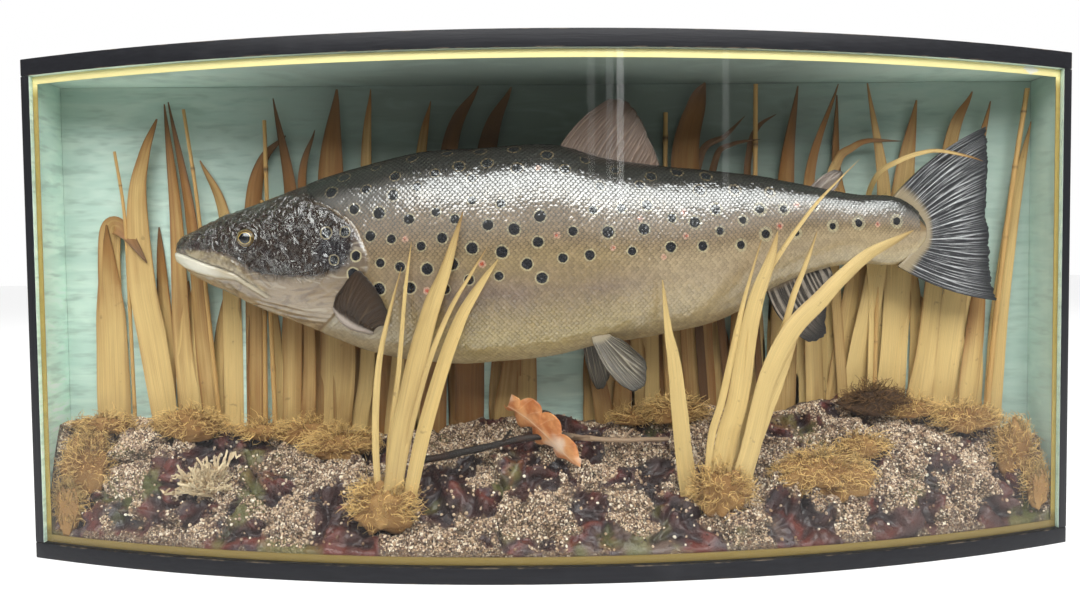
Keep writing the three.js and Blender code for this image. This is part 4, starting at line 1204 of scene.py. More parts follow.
def head_relief(marks, x, z, point):
    """How far the skin of the head stands off its plain form."""
    relief = -2.0 * MM * dip(line_distance(marks["mouth"], x, z)[0], 0.9 * MM)
    lip = outline_depth(marks["lip"], x, z)
    relief += 1.3 * MM * np.sqrt(np.clip(lip / (2.4 * MM), 0, 1))
    plate = outline_depth(marks["jaw_plate"], x, z)
    relief += 1.3 * MM * smooth_step(plate, -0.5 * MM, 1.1 * MM)
    for fold in marks["folds"]:
        far = line_distance(fold, x, z)[0]
        relief += 0.9 * MM * dip(far, 1.1 * MM) - 0.7 * MM * dip(far - 2.0 * MM, 0.8 * MM)
    for ridge in marks["ridges"]:
        far = line_distance(ridge, x, z)[0]
        relief += 0.7 * MM * dip(far, 0.9 * MM) - 0.35 * MM * dip(far - 1.7 * MM, 0.7 * MM)
    behind = behind_gills(marks, x, z)
    level = (z - belly_line(x)) / (back_line(x) - belly_line(x))
    here = smooth_step(level, 0.97, 0.84) * smooth_step(level, 0.0, 0.12)
    cover = smooth_step(-behind, -0.4 * MM, 1.1 * MM) * np.exp(-np.clip(-behind, 0, 1) / (34 * MM))
    relief += here * (1.2 * MM * cover - 1.1 * MM * dip(behind - 1.5 * MM, 1.3 * MM))
    relief -= here * 1.0 * MM * np.where(behind > 0, np.exp(-behind / (9 * MM)), 0)
    for name, width, depth in (("preopercle", 1.1, 0.9), ("cheek", 1.8, 0.7), ("subopercle", 0.8, 0.6)):
        far, side, _ = line_distance(marks[name], x, z)
        relief += MM * (0.4 * dip(far + side * 3 * MM, 2.2 * MM) - depth * dip(far, width * MM))
    for hole in marks["nostrils"]:
        far = np.hypot(x - hole[0], z - hole[1])
        relief += MM * (0.7 * dip(far - 2.3 * MM, 0.9 * MM) - 2.0 * dip(far, 1.25 * MM))
    return relief + socket_relief(x, z) + wrinkle_relief(behind, x, z, point)


def socket_relief(x, z):
    """The rim, gutter and brow round the eye."""
    dx, dz = x - EYE["x"], z - EYE["z"]
    far = np.hypot(dx, dz)
    way = np.arctan2(dz, dx)
    front_below = 0.5 - 0.5 * np.cos(way - math.radians(35))
    relief = -3.5 * MM * smooth_step(far, 8.2 * MM, 6.8 * MM)
    relief += 0.75 * MM * dip(far - 8.8 * MM, 0.9 * MM)
    relief -= (0.5 + 0.7 * front_below) * MM * dip(far - 11.2 * MM, 1.3 * MM)
    relief += (0.3 + 0.9 * front_below) * MM * dip(far - 13.8 * MM, 1.2 * MM)
    brow = dip((dx - 2 * MM) / 2, 9 * MM) * dip(dz - 13 * MM, 3 * MM)
    return relief + 1.1 * MM * brow


def wrinkle_relief(behind, x, z, point):
    """Dried, shrunken skin over the cheek and gill cover."""
    on_head = smooth_step(-behind, 0, 8 * MM)
    back_of_cheek = smooth_step(x, -0.272, -0.235) * smooth_step(z, 0.262, 0.278)
    stretched = point * [1.0, 0.4, 1.25]
    swirl = np.stack([noise(point, 9 * MM, seed) for seed in (15, 16, 17)], -1)
    stretched = stretched + swirl * 5 * MM
    creases = 1 - np.abs(rough(stretched, 8.5 * MM, 3, 5)) * 2
    fine = 1 - np.abs(noise(stretched, 3.0 * MM, 9)) * 2
    snout = smooth_step(x, -0.290, -0.30) * smooth_step(z, 0.285, 0.292)
    amount = 0.30 + 0.70 * back_of_cheek + 0.35 * snout
    return on_head * MM * amount * (0.75 * creases + 0.35 * fine - 0.3)


class Skin:
    """The trout's skin as rings of places, which its scales also stand on."""

    def __init__(self, sides):
        self.marks = head_marks()
        self.x = stations()
        self.angle = 2 * np.pi * np.arange(sides) / sides
        x, angle = self.x[:, None], self.angle[None]
        first, last = self.x[0], self.x[-1]
        nose = np.sqrt(1 - (1 - np.clip((x - first) / (5 * MM), 0, 1)) ** 2)
        root = np.sqrt(1 - (1 - np.clip((last - x) / (3 * MM), 0, 1)) ** 2)
        top = back_line(x) - SKIN_INSET
        bottom = belly_line(x) + SKIN_INSET
        level = lerp(bottom, top, WIDEST_LEVEL)
        up = np.sign(np.cos(angle)) * np.abs(np.cos(angle)) ** SQUARENESS
        out = np.sign(np.sin(angle)) * np.abs(np.sin(angle)) ** SQUARENESS
        reach = np.where(up > 0, top - level, level - bottom) * nose * root
        z = level + reach * up
        y = spine_y(x) + (half_thickness(x) - SKIN_INSET) * out * nose * root
        plain = np.stack([np.broadcast_to(x, z.shape), y, z], axis=-1)
        self.level = (z - bottom) / (top - bottom)
        self.side = np.sign(out) * np.ones_like(z)
        self.plain = plain
        relief = 0.7 * MM * rough(plain, 55 * MM, 2, 3)
        near = x[:, 0] < HEAD_END_X
        head = plain[near]
        relief[near] += head_relief(self.marks, head[..., 0], head[..., 2], head) * (nose * root)[near] ** 2
        self.points = plain + self.normals_of(plain) * relief[..., None]
        self.normals = self.normals_of(self.points)
        self.ahead = unit(np.gradient(self.points, self.x, axis=0))

    @staticmethod
    def normals_of(points):
        along = np.gradient(points, axis=0)
        round_ = np.roll(points, -1, axis=1) - np.roll(points, 1, axis=1)
        return unit(np.cross(along, round_))

    def sample(self, values, found, half):
        """Values kept on the rings, read between them at found ring and side numbers."""
        ring, number = found[:, 0], found[:, 1]
        i, j = ring.astype(int), number.astype(int)
        f, g = (ring - i)[:, None], (number - j)[:, None]
        k0, k1 = half[j], half[np.minimum(j + 1, len(half) - 1)]
        i1 = np.minimum(i + 1, len(self.x) - 1)
        values = values if values.ndim == 3 else values[..., None]
        first = lerp(values[i, k0], values[i, k1], g)
        return lerp(first, lerp(values[i1, k0], values[i1, k1], g), f)

    def head_masks(self, x, z):
        """Where the head's colours lie, each from 0 to 1."""
        behind = behind_gills(self.marks, x, z)
        head = smooth_step(behind, 1.5 * MM, -0.5 * MM)
        depth = outline_depth(self.marks["dark_edge"], x, z)
        dark = np.clip(0.5 + depth / (22 * MM), 0, 1)
        lip = smooth_step(outline_depth(self.marks["lip"], x, z), -0.3 * MM, 0.8 * MM)
        plate = smooth_step(outline_depth(self.marks["jaw_plate"], x, z), -0.2 * MM, 1.0 * MM)
        centre = on_flank([SEEN_BLOTCH])[0]
        blotch = smooth_step(np.hypot((x - centre[0]) / 1.1, z - centre[2]), 21 * MM, 10 * MM)
        return {"head": head, "dark": dark, "lip": lip, "plate": plate, "blotch": blotch * head}

    def mark(self, piece, plain, level):
        """Keeps on each vertex what the markings need: height, head colours and nearness of spots."""
        note(piece, "level", level)
        x, z = plain[:, 0], plain[:, 2]
        near = x < HEAD_END_X
        masks = self.head_masks(x[near], z[near])
        for name, values in masks.items():
            whole = np.zeros(len(x))
            whole[near] = values
            note(piece, name, whole)
        for name, centres, radius in (("spot", BLACK_SPOTS, SPOT_RADIUS), ("red", RED_SPOTS, RED_RADIUS)):
            note(piece, name, nearest_spot(plain, spots(centres)) / radius)


def nearest_spot(plain, centres):
    """How far each place is from the nearest spot. The off side has the same spots, set a little askew."""
    out = plain[:, 1] - spine_y(plain[:, 0])
    folded = plain.copy()
    folded[:, 1] = spine_y(plain[:, 0]) - np.abs(out)
    off_side = (out > 0) & (plain[:, 0] > HEAD_END_X)
    folded[off_side] += OFF_SIDE_SHIFT
    best = np.full(len(folded), 1.0)
    for i, centre in enumerate(centres):
        size = 1 + 0.13 * math.sin(7.3 * i)
        best = np.minimum(best, np.linalg.norm(folded - centre, axis=1) / size)
    return best


def build_skin(skin):
    """One skin with no seam in place of the fish's flesh."""
    rings, sides = skin.plain.shape[:2]

    def numbers(u, v):
        """The ring and side numbers of places on the grid; the last side meets the first."""
        return np.rint(u * (rings - 1)).astype(int), np.rint(v * sides).astype(int) % sides

    piece, u, v = grid_piece("trout_skin", rings - 1, sides, lambda u, v: skin.points[numbers(u, v)])
    at = numbers(u, v)
    skin.mark(piece, skin.plain[at], skin.level[at])
    map_vertices(piece, "OFBake", inset(np.stack([u, v], 1)))
    close_seams(piece)
    flesh = ["trunk", "tail", "head", "lower_jaw"]
    flesh += [f"{part}_{side}" for part in ("gill_cover", "upper_jaw") for side in ("left", "right")]
    shown(piece, skin_finish(), "trout_skin", *flesh)


# The pitch at which a scale has the size of its outline, and how far apart the columns and the
# scales in a column stand, in pitches.
SCALE_PLAN = 4.4 * MM
COLUMN_STEP = 0.5
SCALE_STEP = 1.18
# More scales than half a column ever holds.
HALF_COLUMN = 80


def scale_blank():
    """One scale: a thin domed plate, rounded behind and pointed into the skin in front."""
    deselect()
    bpy.ops.mesh.primitive_circle_add(vertices=5, radius=1, fill_type="TRIFAN")
    piece = bpy.context.object
    with editing(piece):
        bpy.ops.mesh.select_all(action="SELECT")
        bpy.ops.mesh.extrude_region_move(TRANSFORM_OT_translate={"value": (0, 0, -1)})
    outline = np.array([(2.9, -1.5), (2.9, 1.5), (-0.1, 2.85), (-2.7, 0), (-0.1, -2.85)])
    lift = np.array([0.40, 0.40, 0.10, -0.3, 0.10])
    points = places_of(piece)
    angle = np.arctan2(points[:, 1], points[:, 0])
    centre = np.hypot(points[:, 0], points[:, 1]) < 0.5
    lower = points[:, 2] < -0.5
    slots = np.unique(np.round(angle[~centre], 3))
    first = int(np.argmin(np.abs(slots)))
    shaped = np.zeros_like(points)
    for i in range(len(points)):
        if centre[i]:
            shaped[i] = (0.3, 0, -0.1 if lower[i] else 0.52)
            continue
        k = (int(np.argmin(np.abs(slots - round(float(angle[i]), 3)))) - first) % len(outline)
        thin = 0.32 if lower[i] else 0.0
        shaped[i] = (*outline[k], lift[k] - thin)
    move_to(piece, shaped * MM)
    close_seams(piece)
    return Blank(piece)


def scale_places(skin, side):
    """Where the scales of one flank grow: ring and side numbers on the skin, and the size of each."""
    look = bpy.context.scene.trout_fish
    sides = len(skin.angle)
    half = np.arange(0, sides // 2 + 1)
    half = half if side > 0 else (sides - half) % sides
    found = []
    x = SCALES_START_X
    column = 0
    while x < SCALES_END_X:
        size = lerp(0.84, 1.0, smooth_step(x, -0.2, -0.12)) * lerp(1.0, 0.80, smooth_step(x, 0.10, 0.33))
        ring = np.interp(x, skin.x, np.arange(len(skin.x)))
        low = int(ring)
        points = lerp(skin.points[low, half], skin.points[low + 1, half], ring - low)
        arc = np.concatenate([[0], np.cumsum(np.linalg.norm(np.diff(points, axis=0), axis=1))])
        middle = np.interp(sides * 0.24, np.arange(len(half)), arc)
        width = look.scale_pitch * SCALE_STEP * size
        count = np.arange(-HALF_COLUMN, HALF_COLUMN) + 0.5 * (column % 2)
        at = middle + count * width
        at = at[(at > 0.4 * width) & (at < arc[-1] - 0.4 * width)]
        number = np.interp(at, arc, np.arange(len(half)))
        found.append(np.stack([np.full(len(at), ring), number, np.full(len(at), size)], 1))
        x += look.scale_pitch * COLUMN_STEP * size
        column += 1
    return np.concatenate(found), half


def build_scales(skin):
    look = bpy.context.scene.trout_fish
    blank = scale_blank()
    finish = scale_finish()
    for name, side, seed in (("left", -1, 11), ("right", 1, 12)):
        found, half = scale_places(skin, side)
        random = np.random.default_rng(seed)
        plain = skin.sample(skin.plain, found, half)
        behind = behind_gills(skin.marks, plain[:, 0], plain[:, 2])
        kept = (behind > 2.6 * MM) | (plain[:, 0] > HEAD_END_X)
        found, plain = found[kept], plain[kept]
        points = skin.sample(skin.points, found, half)
        normals = unit(skin.sample(skin.normals, found, half))
        ahead = skin.sample(skin.ahead, found, half)
        level = skin.sample(skin.level, found, half)[:, 0]
        count = len(found)
        ahead = unit(ahead - normals * (ahead * normals).sum(1, keepdims=True))
        across = np.cross(normals, ahead)
        tilt = random.normal(0, math.radians(2.2), (2, count))[..., None]
        ahead = unit(ahead + normals * tilt[0])
        across = unit(across + normals * tilt[1])
        size = found[:, 2] * random.uniform(0.95, 1.06, count) * look.scale_pitch / SCALE_PLAN
        size = size[:, None, None]
        a, b, c = (blank.points[None, :, i, None] * size for i in range(3))
        shift = ahead[:, None] * a + across[:, None] * b
        where = points[:, None] + shift + normals[:, None] * (c + 0.1 * MM)
        where = drop_to_skin(where, points, normals, level)
        patches = inset(np.stack([found[:, 0] / len(skin.x), found[:, 1] / len(half)], 1))
        flat = plain[:, None] + shift
        tint = random.uniform(-1, 1, count)
        middle = np.hypot(blank.points[:, 0], blank.points[:, 1]) < 1 * MM
        rim = np.where(middle, 0.0, 1.0)
        each = len(blank.points)
        for part, some in (("front", plain[:, 0] < 0), ("rear", plain[:, 0] >= 0)):
            piece = blank.copies(f"trout_scales_{name}_{part}", where[some], patches[some])
            skin.mark(piece, flat[some].reshape(-1, 3), np.repeat(level[some], each))
            note(piece, "tint", np.repeat(tint[some], each))
            note(piece, "rim", np.tile(rim, some.sum()))
            shown(piece, finish, "trout_skin")


# How sharply a scale bends, per metre: least on the flank and most on the back and belly.
FLANK_BEND = 6.0
EDGE_BEND = 16.0


def drop_to_skin(where, points, normals, level):
    """Bends each scale with the round of the body, so that its sides don't stand off."""
    shift = where - points[:, None]
    along_normal = (shift * normals[:, None]).sum(2, keepdims=True)
    flat = shift - normals[:, None] * along_normal
    upright = np.abs(flat[..., 2:3])
    bend = upright**2 * lerp(FLANK_BEND, EDGE_BEND, np.abs(level - 0.5) * 2)[:, None, None]
    return where - normals[:, None] * bend


def build_eyes():
    """Two glass eyes, each a ball whose front bulges a little."""
    finish = eye_finish()
    half = half_thickness(EYE["x"])
    for name, side in (("left", -1), ("right", 1)):
        out = half * EYE["flank"] + EYE["proud"] - EYE["radius"]
        centre = np.array([EYE["x"], spine_y(EYE["x"]) + side * out, EYE["z"]])
        deselect()
        bpy.ops.mesh.primitive_uv_sphere_add(segments=48, ring_count=48, radius=EYE["radius"] - 0.1 * MM)
        piece = bpy.context.object
        with editing(piece):
            bpy.ops.mesh.select_all(action="SELECT")
            bpy.ops.transform.rotate(value=math.pi / 2, orient_axis="X", center_override=(0, 0, 0))
        points = places_of(piece)
        far = np.hypot(points[:, 0], points[:, 2])
        way = np.arctan2(points[:, 2], points[:, 0])
        notch = 1 - 0.14 * np.exp(-((np.abs(way) - math.pi) / 0.45) ** 2)
        facing = np.sign(points[:, 1]) == side
        note(piece, "ring", np.where(facing, far * notch / EYE["radius"], 1))
        points[:, 1] += side * 0.5 * MM * np.exp(-((far / (6 * MM)) ** 2)) * facing
        move_to(piece, points + centre)
        piece.data.shade_smooth()
        shown(piece, finish, "glass_eye", f"eye_{name}", name=f"glass_eye_{name}")


BREAST_FIN = {
    "root": [(-196, 236), (-190, 225), (-180, 218), (-163, 214)],
    "tip": [(-187, 251), (-181, 263), (-171, 270.5), (-158, 258), (-147, 236), (-147, 221)],
    "bow": (3, 3), "thick": (7, 1.1), "rays": 13,
}
# Each fin: its root and tip lines as [x, z] in mm, how its first and last rays bow, how far it
# stands from the middle of the fish, its thickness at root and tip, its rays and how wide each
# one's ridge is.
FINS = {
    "dorsal_fin": {
        "root": [(2, 374), (45, 366), (93, 357)],
        "tip": [(56, 427.5), (70, 426), (79, 415), (88, 396), (99, 366)],
        "bow": (6, -2), "depth": lambda u, v: 3 * np.sin(4 * u) * v, "thick": (5, 1.1), "rays": 22,
    },
    "adipose_fin": {
        "root": [(240, 340), (250, 338), (260, 336)], "tip": [(268, 361), (275, 359), (274, 352)],
        "bow": (3, -1.5), "depth": lambda u, v: 0 * u, "thick": (4, 1.8), "rays": 3,
    },
    "anal_fin": {
        "root": [(199, 255), (230, 266), (258, 273)],
        "tip": [(243, 197), (257, 201), (259, 218), (261, 240), (265, 259)],
        "bow": (-9, 2), "depth": lambda u, v: -4 * v * (1 - u), "thick": (5, 1.1), "rays": 11, "ridge": 0.27,
    },
    "pelvic_fin_left": {
        "root": [(33, 208), (41, 209), (49, 209)],
        "tip": [(61, 164), (72, 160), (80, 167), (80, 186), (68, 198)],
        "bow": (-5, 2), "depth": lambda u, v: -24 - 20 * v, "thick": (5, 1.1), "rays": 10,
    },
    "pelvic_fin_right": {
        "root": [(28, 206), (38, 207), (48, 207)],
        "tip": [(38, 160), (44, 150), (51, 154), (57, 170), (62, 190)],
        "bow": (-2, 2), "depth": lambda u, v: 24 + 12 * v, "thick": (5, 1.1), "rays": 9,
    },
    "caudal_fin": {
        "root": [(325, 334), (341, 325), (354, 313), (357, 301), (353, 289), (341, 280), (329, 269)],
        "tip": [(424, 404.5), (427, 385), (427, 350), (425, 318), (427, 285), (427, 258), (436, 234)],
        "bow": (7, -6), "depth": lambda u, v: 3 * np.sin(5 * u), "thick": (7, 1.1), "rays": 34, "ridge": 0.12,
    },
    "pectoral_fin_left": {**BREAST_FIN, "depth": lambda u, v: -(36 - 6 * u + 10 * np.sqrt(v))},
    "pectoral_fin_right": {**BREAST_FIN, "depth": lambda u, v: 36 - 6 * u + 8 * np.sqrt(v)},
}
RAY_COLUMNS = 8
FIN_ROWS = 34


def fin_finishes():
    """A finish for each kind of fin: membrane, rays, tip and root, and how far along the pale rays reach."""
    dark = bpy.context.scene.trout_fish.fin_colour
    return {
        # The tail fin's near-white ray colour is painted highlight of its glossy ridges.
        "caudal": fin_finish(
            "tail_fin", (0.034, 0.033, 0.037), (0.62, 0.61, 0.62), (0.012, 0.012, 0.015),
            (0.30, 0.235, 0.15), 1.2,
        ),
        "dorsal": fin_finish(
            "back_fin", (0.14, 0.088, 0.062), (0.31, 0.21, 0.155), (0.085, 0.055, 0.04), (0.08, 0.06, 0.042),
        ),
        "anal": fin_finish(
            "anal_fin", (0.038, 0.030, 0.025), (0.38, 0.32, 0.26), (0.020, 0.017, 0.017),
            (0.28, 0.21, 0.14), 1.0,
        ),
        "pelvic": fin_finish(
            "pelvic_fin", (0.080, 0.064, 0.046), (0.34, 0.29, 0.215), (0.032, 0.027, 0.022),
            (0.25, 0.20, 0.13),
        ),
        "pectoral": fin_finish(
            "breast_fin", dark, (0.085, 0.052, 0.028), (0.020, 0.012, 0.007), (0.44, 0.36, 0.31), 0.9,
        ),
        "adipose": fin_finish(
            "adipose_fin", (0.22, 0.17, 0.14), (0.33, 0.27, 0.23), (0.010, 0.008, 0.007),
            (0.035, 0.026, 0.018),
        ),
    }


def build_fins():
    finishes = fin_finishes()
    for number, (name, shape) in enumerate(FINS.items()):
        build_fin(name, shape, finishes[name.split("_")[0]], np.random.default_rng(40 + number))


def build_fin(name, shape, finish, random):
    """A fin from its rays: each is a ridge that forks, with thin membrane between, frayed at the tip."""
    rays = shape["rays"]
    columns = rays * RAY_COLUMNS
    root = curve(shape["root"], columns + 1) * MM
    tip = curve(shape["tip"], columns + 1) * MM
    ragged = random.uniform(0, 1, rays + 2)
    beside_body = name.startswith("pectoral")

    def between(u):
        """How far u is from the middle of its ray, 0 on it and 0.5 midway to the next."""
        at = u * rays + 0.26 * np.sin(u * rays * 1.7) + 0.2 * np.sin(u * rays * 0.61 + 2)
        return np.abs(at - np.floor(at) - 0.5)

    def place(u, v):
        column = np.rint(u * columns).astype(int)
        start, end = root[column], tip[column]
        along = end - start
        length = np.maximum(np.hypot(*along.T), MM)
        notch = 0.03 * between(u) + 0.04 * np.interp(u * rays, np.arange(rays + 2), ragged)
        reach = v * (1 - notch * smooth_step(v, 0.5, 1))
        swing = lerp(shape["bow"][0], shape["bow"][1], u) * MM * 4 * reach * (1 - reach)
        x = start[:, 0] + along[:, 0] * reach - along[:, 1] / length * swing
        z = start[:, 1] + along[:, 1] * reach + along[:, 0] / length * swing
        ripple = 0.5 * MM * np.sin(u * rays * 1.3 + 5 * v) * v
        out = shape["depth"](u, v) * MM + ripple
        if beside_body:
            clear = flank_y(x, z) + lerp(-4, 3.5, smooth_step(v, 0.0, 0.3)) * MM
            out = np.sign(out) * np.maximum(np.abs(out), clear)
        return np.stack([x, spine_y(x) + out, z], 1)

    piece, u, v = grid_piece(name, columns, FIN_ROWS, place)
    fork = 0.24 * smooth_step(v, 0.35, 0.85)
    ridge = np.exp(-(((between(u) - fork) / shape.get("ridge", 0.14)) ** 2))
    ridge *= 0.7 + 0.45 * np.interp(u * rays, np.arange(rays + 2), random.uniform(0, 1, rays + 2))
    fade = smooth_step(v, 1.02, 0.8) * 0.4 + 0.6
    thick = lerp(shape["thick"][0], shape["thick"][1], v**0.55)
    relief = ridge * fade * smooth_step(v, 0.04, 0.3)
    share = np.maximum(thick * lerp(0.62, 1.0, relief), 0.6) / shape["thick"][0]
    note(piece, "ray", ridge)
    note(piece, "reach", v)
    note(piece, "across", u)
    group = piece.vertex_groups.new(name="thick")
    for index, weight in enumerate(share):
        group.add([index], float(weight), "REPLACE")
    modify(piece, "SOLIDIFY", thickness=shape["thick"][0] * MM, offset=0, vertex_group="thick")
    piece.vertex_groups.clear()
    piece.data.shade_smooth()
    slot = "tail_membrane" if name == "caudal_fin" else "fin_membrane"
    shown(piece, finish, slot, name, name=name + "_rays")


# ---------------------------------------------------------------- the groundwork

bank_line = through(BANK_LINE)


def ground_front_y(x):
    return bow_y(x, GLASS["set_back"] + GLASS["thickness"] + GILT["thickness"] + 3 * GAP)


def ground_z(x, y):
    """The top of the plain groundwork, in metres, from places in metres."""
    front = ground_front_y(x) / MM
    x, y = x / MM, y / MM
    v = np.clip((y - front) / (GROUND_BACK_Y - front), 0, 1)
    lumps = np.sin(x / 17 + 2.1 * np.sin(y / 23)) * np.sin(y / 13 + x / 41) + 0.6 * np.sin(x / 9.5 + y / 11)
    return (lerp(GROUND_FRONT_Z, bank_line(x), v**GROUND_RISE) + 6 * lumps * np.sin(np.pi * v)) * MM


def scattered(points, size, seed):
    """How far each place is from the nearest and next nearest of some seeds, and the nearest's number."""
    p = points / size
    cell = np.floor(p).astype(np.int64)
    first, second = np.full(len(p), 9.0), np.full(len(p), 9.0)
    number = np.zeros(len(p))
    for corner in np.ndindex(3, 3, 3):
        near = cell + np.array(corner) - 1
        seeds = near + np.stack([scramble(near, seed + axis) for axis in range(3)], -1)
        far = np.linalg.norm(p - seeds, axis=1)
        closer = far < first
        second = np.where(closer, first, np.minimum(second, far))
        number = np.where(closer, scramble(near, seed + 3), number)
        first = np.where(closer, far, first)
    return first, second, number


def rock_form(x, y):
    """The surface of the modelled rockwork over each (x, y): places, nearness of grit, and hollows."""
    step = 0.5 * MM
    slope_x = (ground_z(x + step, y) - ground_z(x - step, y)) / (2 * step)
    slope_y = (ground_z(x, y + step) - ground_z(x, y - step)) / (2 * step)
    plain = np.stack([x, y, ground_z(x, y)], 1)
    normal = unit(np.stack([-slope_x, -slope_y, np.ones_like(x)], 1))
    warp = plain + 8 * MM * np.stack([noise(plain, 21 * MM, 21 + axis) for axis in range(3)], 1)
    first, second, number = scattered(warp, 40 * MM, 31)
    boulder = smooth_step(second - first, 0.0, 0.34)
    height = (boulder * (0.25 + 0.75 * number) - 0.52) * 16 * MM
    knob_first, knob_second, knob = scattered(warp, 15 * MM, 35)
    knobs = smooth_step(knob_second - knob_first, 0.0, 0.45)
    height += (knobs * (0.15 + 0.85 * knob) - 0.45) * 7 * MM
    height += 1.8 * MM * rough(plain, 7 * MM, 3, 39)
    front = ground_front_y(x)
    v = (y - front) / (GROUND_BACK_Y * MM - front)
    edge = smooth_step(v, -0.02, 0.06) * smooth_step(np.abs(x), INSIDE_X, INSIDE_X - 10 * MM)
    edge *= lerp(1.0, 0.35, smooth_step(v, 0.9, 1.05))
    points = plain + normal * (height * edge)[:, None]
    points[:, 0] = np.clip(points[:, 0], -INSIDE_X + GAP, INSIDE_X - GAP)
    points[:, 1] = np.clip(points[:, 1], ground_front_y(points[:, 0]), BACKBOARD_Y - GAP)
    points[:, 2] = np.maximum(points[:, 2], FLOOR_Z + 4 * MM)
    # How hollow each place is; it thins the grit and sets the painted shade of the rockwork.
    hollow = ((1 - boulder) * 0.8 + (1 - knobs) * 0.45) * edge
    drift = rough(plain, 34 * MM, 3, 61) + 0.3 * number + 0.15 - 0.25 * hollow
    return points, smooth_step(drift, -0.34, 0.42), hollow


def rock_z(x, y):
    return rock_form(x, y)[0][:, 2]


def build_rockwork():
    """The rockwork's surface, closed by walls down to the floor of the case."""
    columns = bpy.context.scene.trout_ground.rock_columns
    rows = int(columns * 0.2)

    def form(u, v):
        x = lerp(-INSIDE_X + GAP, INSIDE_X - GAP, u)
        return rock_form(x, lerp(ground_front_y(x), BACKBOARD_Y - GAP, v))

    piece, u, v = grid_piece("rockwork", columns, rows, lambda u, v: form(u, v)[0])
    _, grit, hollow = form(u, v)
    note(piece, "grit", grit)
    note(piece, "hollow", hollow)
    map_vertices(piece, "OFBake", inset(np.stack([u, v], 1)))
    with editing(piece) as bm:
        choose(bm, "edges", lambda e: e.is_boundary)
        bpy.ops.mesh.extrude_region_move(TRANSFORM_OT_translate={"value": (0, 0, -1 * MM)})
        bm = bmesh.from_edit_mesh(piece.data)
        for vert in bm.verts:
            if vert.select:
                vert.co.z = FLOOR_Z + 0.05 * MM
        bpy.ops.mesh.edge_face_add()
        bpy.ops.mesh.select_all(action="SELECT")
        bpy.ops.mesh.normals_make_consistent(inside=False)
    shown(piece, rock_finish(), "painted_rockwork", "groundwork", name="rockwork")


def ground_share(x, y):
    """Places on the ground as shares of the case's width and depth."""
    return np.stack([
        0.02 + 0.96 * (x + INSIDE_X) / (2 * INSIDE_X),
        0.02 + 0.96 * (y - CASE_LOW[1]) / (CASE_HIGH[1] - CASE_LOW[1]),
    ], 1)


def octahedron_blank():
    """A grain: two four-sided points base to base."""
    deselect()
    bpy.ops.mesh.primitive_cone_add(vertices=4, radius1=1, depth=1, location=(0, 0, 0.5))
    piece = settle(bpy.context.object)
    with editing(piece) as bm:
        choose(bm, "faces", lambda f: len(f.verts) == 4)
        bpy.ops.mesh.poke(offset=1.0)
    return Blank(piece)


def icosahedron_blank():
    """A coarse grain with twenty faces."""
    deselect()
    bpy.ops.mesh.primitive_ico_sphere_add(subdivisions=1, radius=1)
    return Blank(bpy.context.object)


def add_grit(name, blank, count, size, finish, seed, likely):
    """Grains strewn over the rockwork; likely(grit, hollow) tells how many of them stay at a place."""
    random = np.random.default_rng(seed)
    x = random.uniform(-INSIDE_X + 3 * MM, INSIDE_X - 3 * MM, count)
    y = lerp(ground_front_y(x) + 1 * MM, (GROUND_BACK_Y + 8) * MM, random.uniform(0, 1, count))
    place, grit, hollow = rock_form(x, y)
    keep = random.uniform(0, 1, count) < likely(grit, hollow)
    place = place[keep]
    kept = len(place)
    size = random.uniform(*size, kept) * MM
    place[:, 1] = np.maximum(place[:, 1], ground_front_y(place[:, 0]) + size)
    stretch = random.uniform(0.6, 1.15, (kept, 1, 3))
    shape = blank.points[None] * stretch * size[:, None, None]
    turned = np.einsum("nij,nkj->nki", turns(kept, random), shape)
    place += [0, 0, 0.2 * MM]
    piece = blank.copies(name, turned + place[:, None], ground_share(place[:, 0], place[:, 1]))
    note(piece, "tint", np.repeat(random.uniform(0, 1, kept), len(blank.points)))
    piece.data.shade_flat()
    shown(piece, finish, "painted_rockwork")


def build_grit():
    """Pale grit in drifts, then dark and coarse grains sprinkled all over."""
    pale = grain_finish(
        "pale_grit", (0.0, (0.12, 0.055, 0.035)), (0.25, (0.42, 0.27, 0.16)), (0.5, (0.74, 0.56, 0.38)),
        (0.62, (0.11, 0.05, 0.045)), (0.75, (0.62, 0.46, 0.32)), (1.0, (1.0, 0.90, 0.74)),
    )
    dark = grain_finish(
        "dark_grit", (0.0, (0.014, 0.009, 0.011)), (0.4, (0.055, 0.022, 0.018)), (0.7, (0.10, 0.055, 0.045)),
        (1.0, (0.17, 0.12, 0.10)),
    )
    thick = bpy.context.scene.trout_ground.grit
    small = octahedron_blank()

    def drifts(grit, hollow):
        return smooth_step(grit, 0.25, 0.75)

    def sprinkled(grit, hollow):
        return 0.30 + 0.5 * grit

    for part in range(2):
        add_grit(f"grit_pale_{part + 1}", small, int(40000 * thick), (0.75, 1.55), pale, 51 + part, drifts)
    add_grit("grit_dark", small, int(24000 * thick), (0.6, 1.4), dark, 55, sprinkled)
    add_grit("grit_coarse", icosahedron_blank(), int(5200 * thick), (1.2, 2.1), pale, 56, sprinkled)


# ---------------------------------------------------------------- reeds


BLADE_STEPS = 42
BLADE_COLUMNS = 8
BLADE_HALF_THICKNESS = 0.3 * MM


def blade_blank():
    """A straight flat blade from z 0 to z 1, x from -1 to 1, y from -1 to 1."""
    deselect()
    bpy.ops.mesh.primitive_cube_add(size=2)
    piece = bpy.context.object
    with editing(piece) as bm:
        choose(bm, "edges", lambda e: abs(e.verts[0].co.z - e.verts[1].co.z) > 1)
        bpy.ops.mesh.subdivide(number_cuts=BLADE_STEPS - 1)
        bm = bmesh.from_edit_mesh(piece.data)
        choose(bm, "edges", lambda e: abs(e.verts[0].co.x - e.verts[1].co.x) > 1)
        bpy.ops.mesh.subdivide(number_cuts=BLADE_COLUMNS - 1)
    points = places_of(piece)
    points[:, 2] = (points[:, 2] + 1) / 2
    move_to(piece, points)
    return Blank(piece)


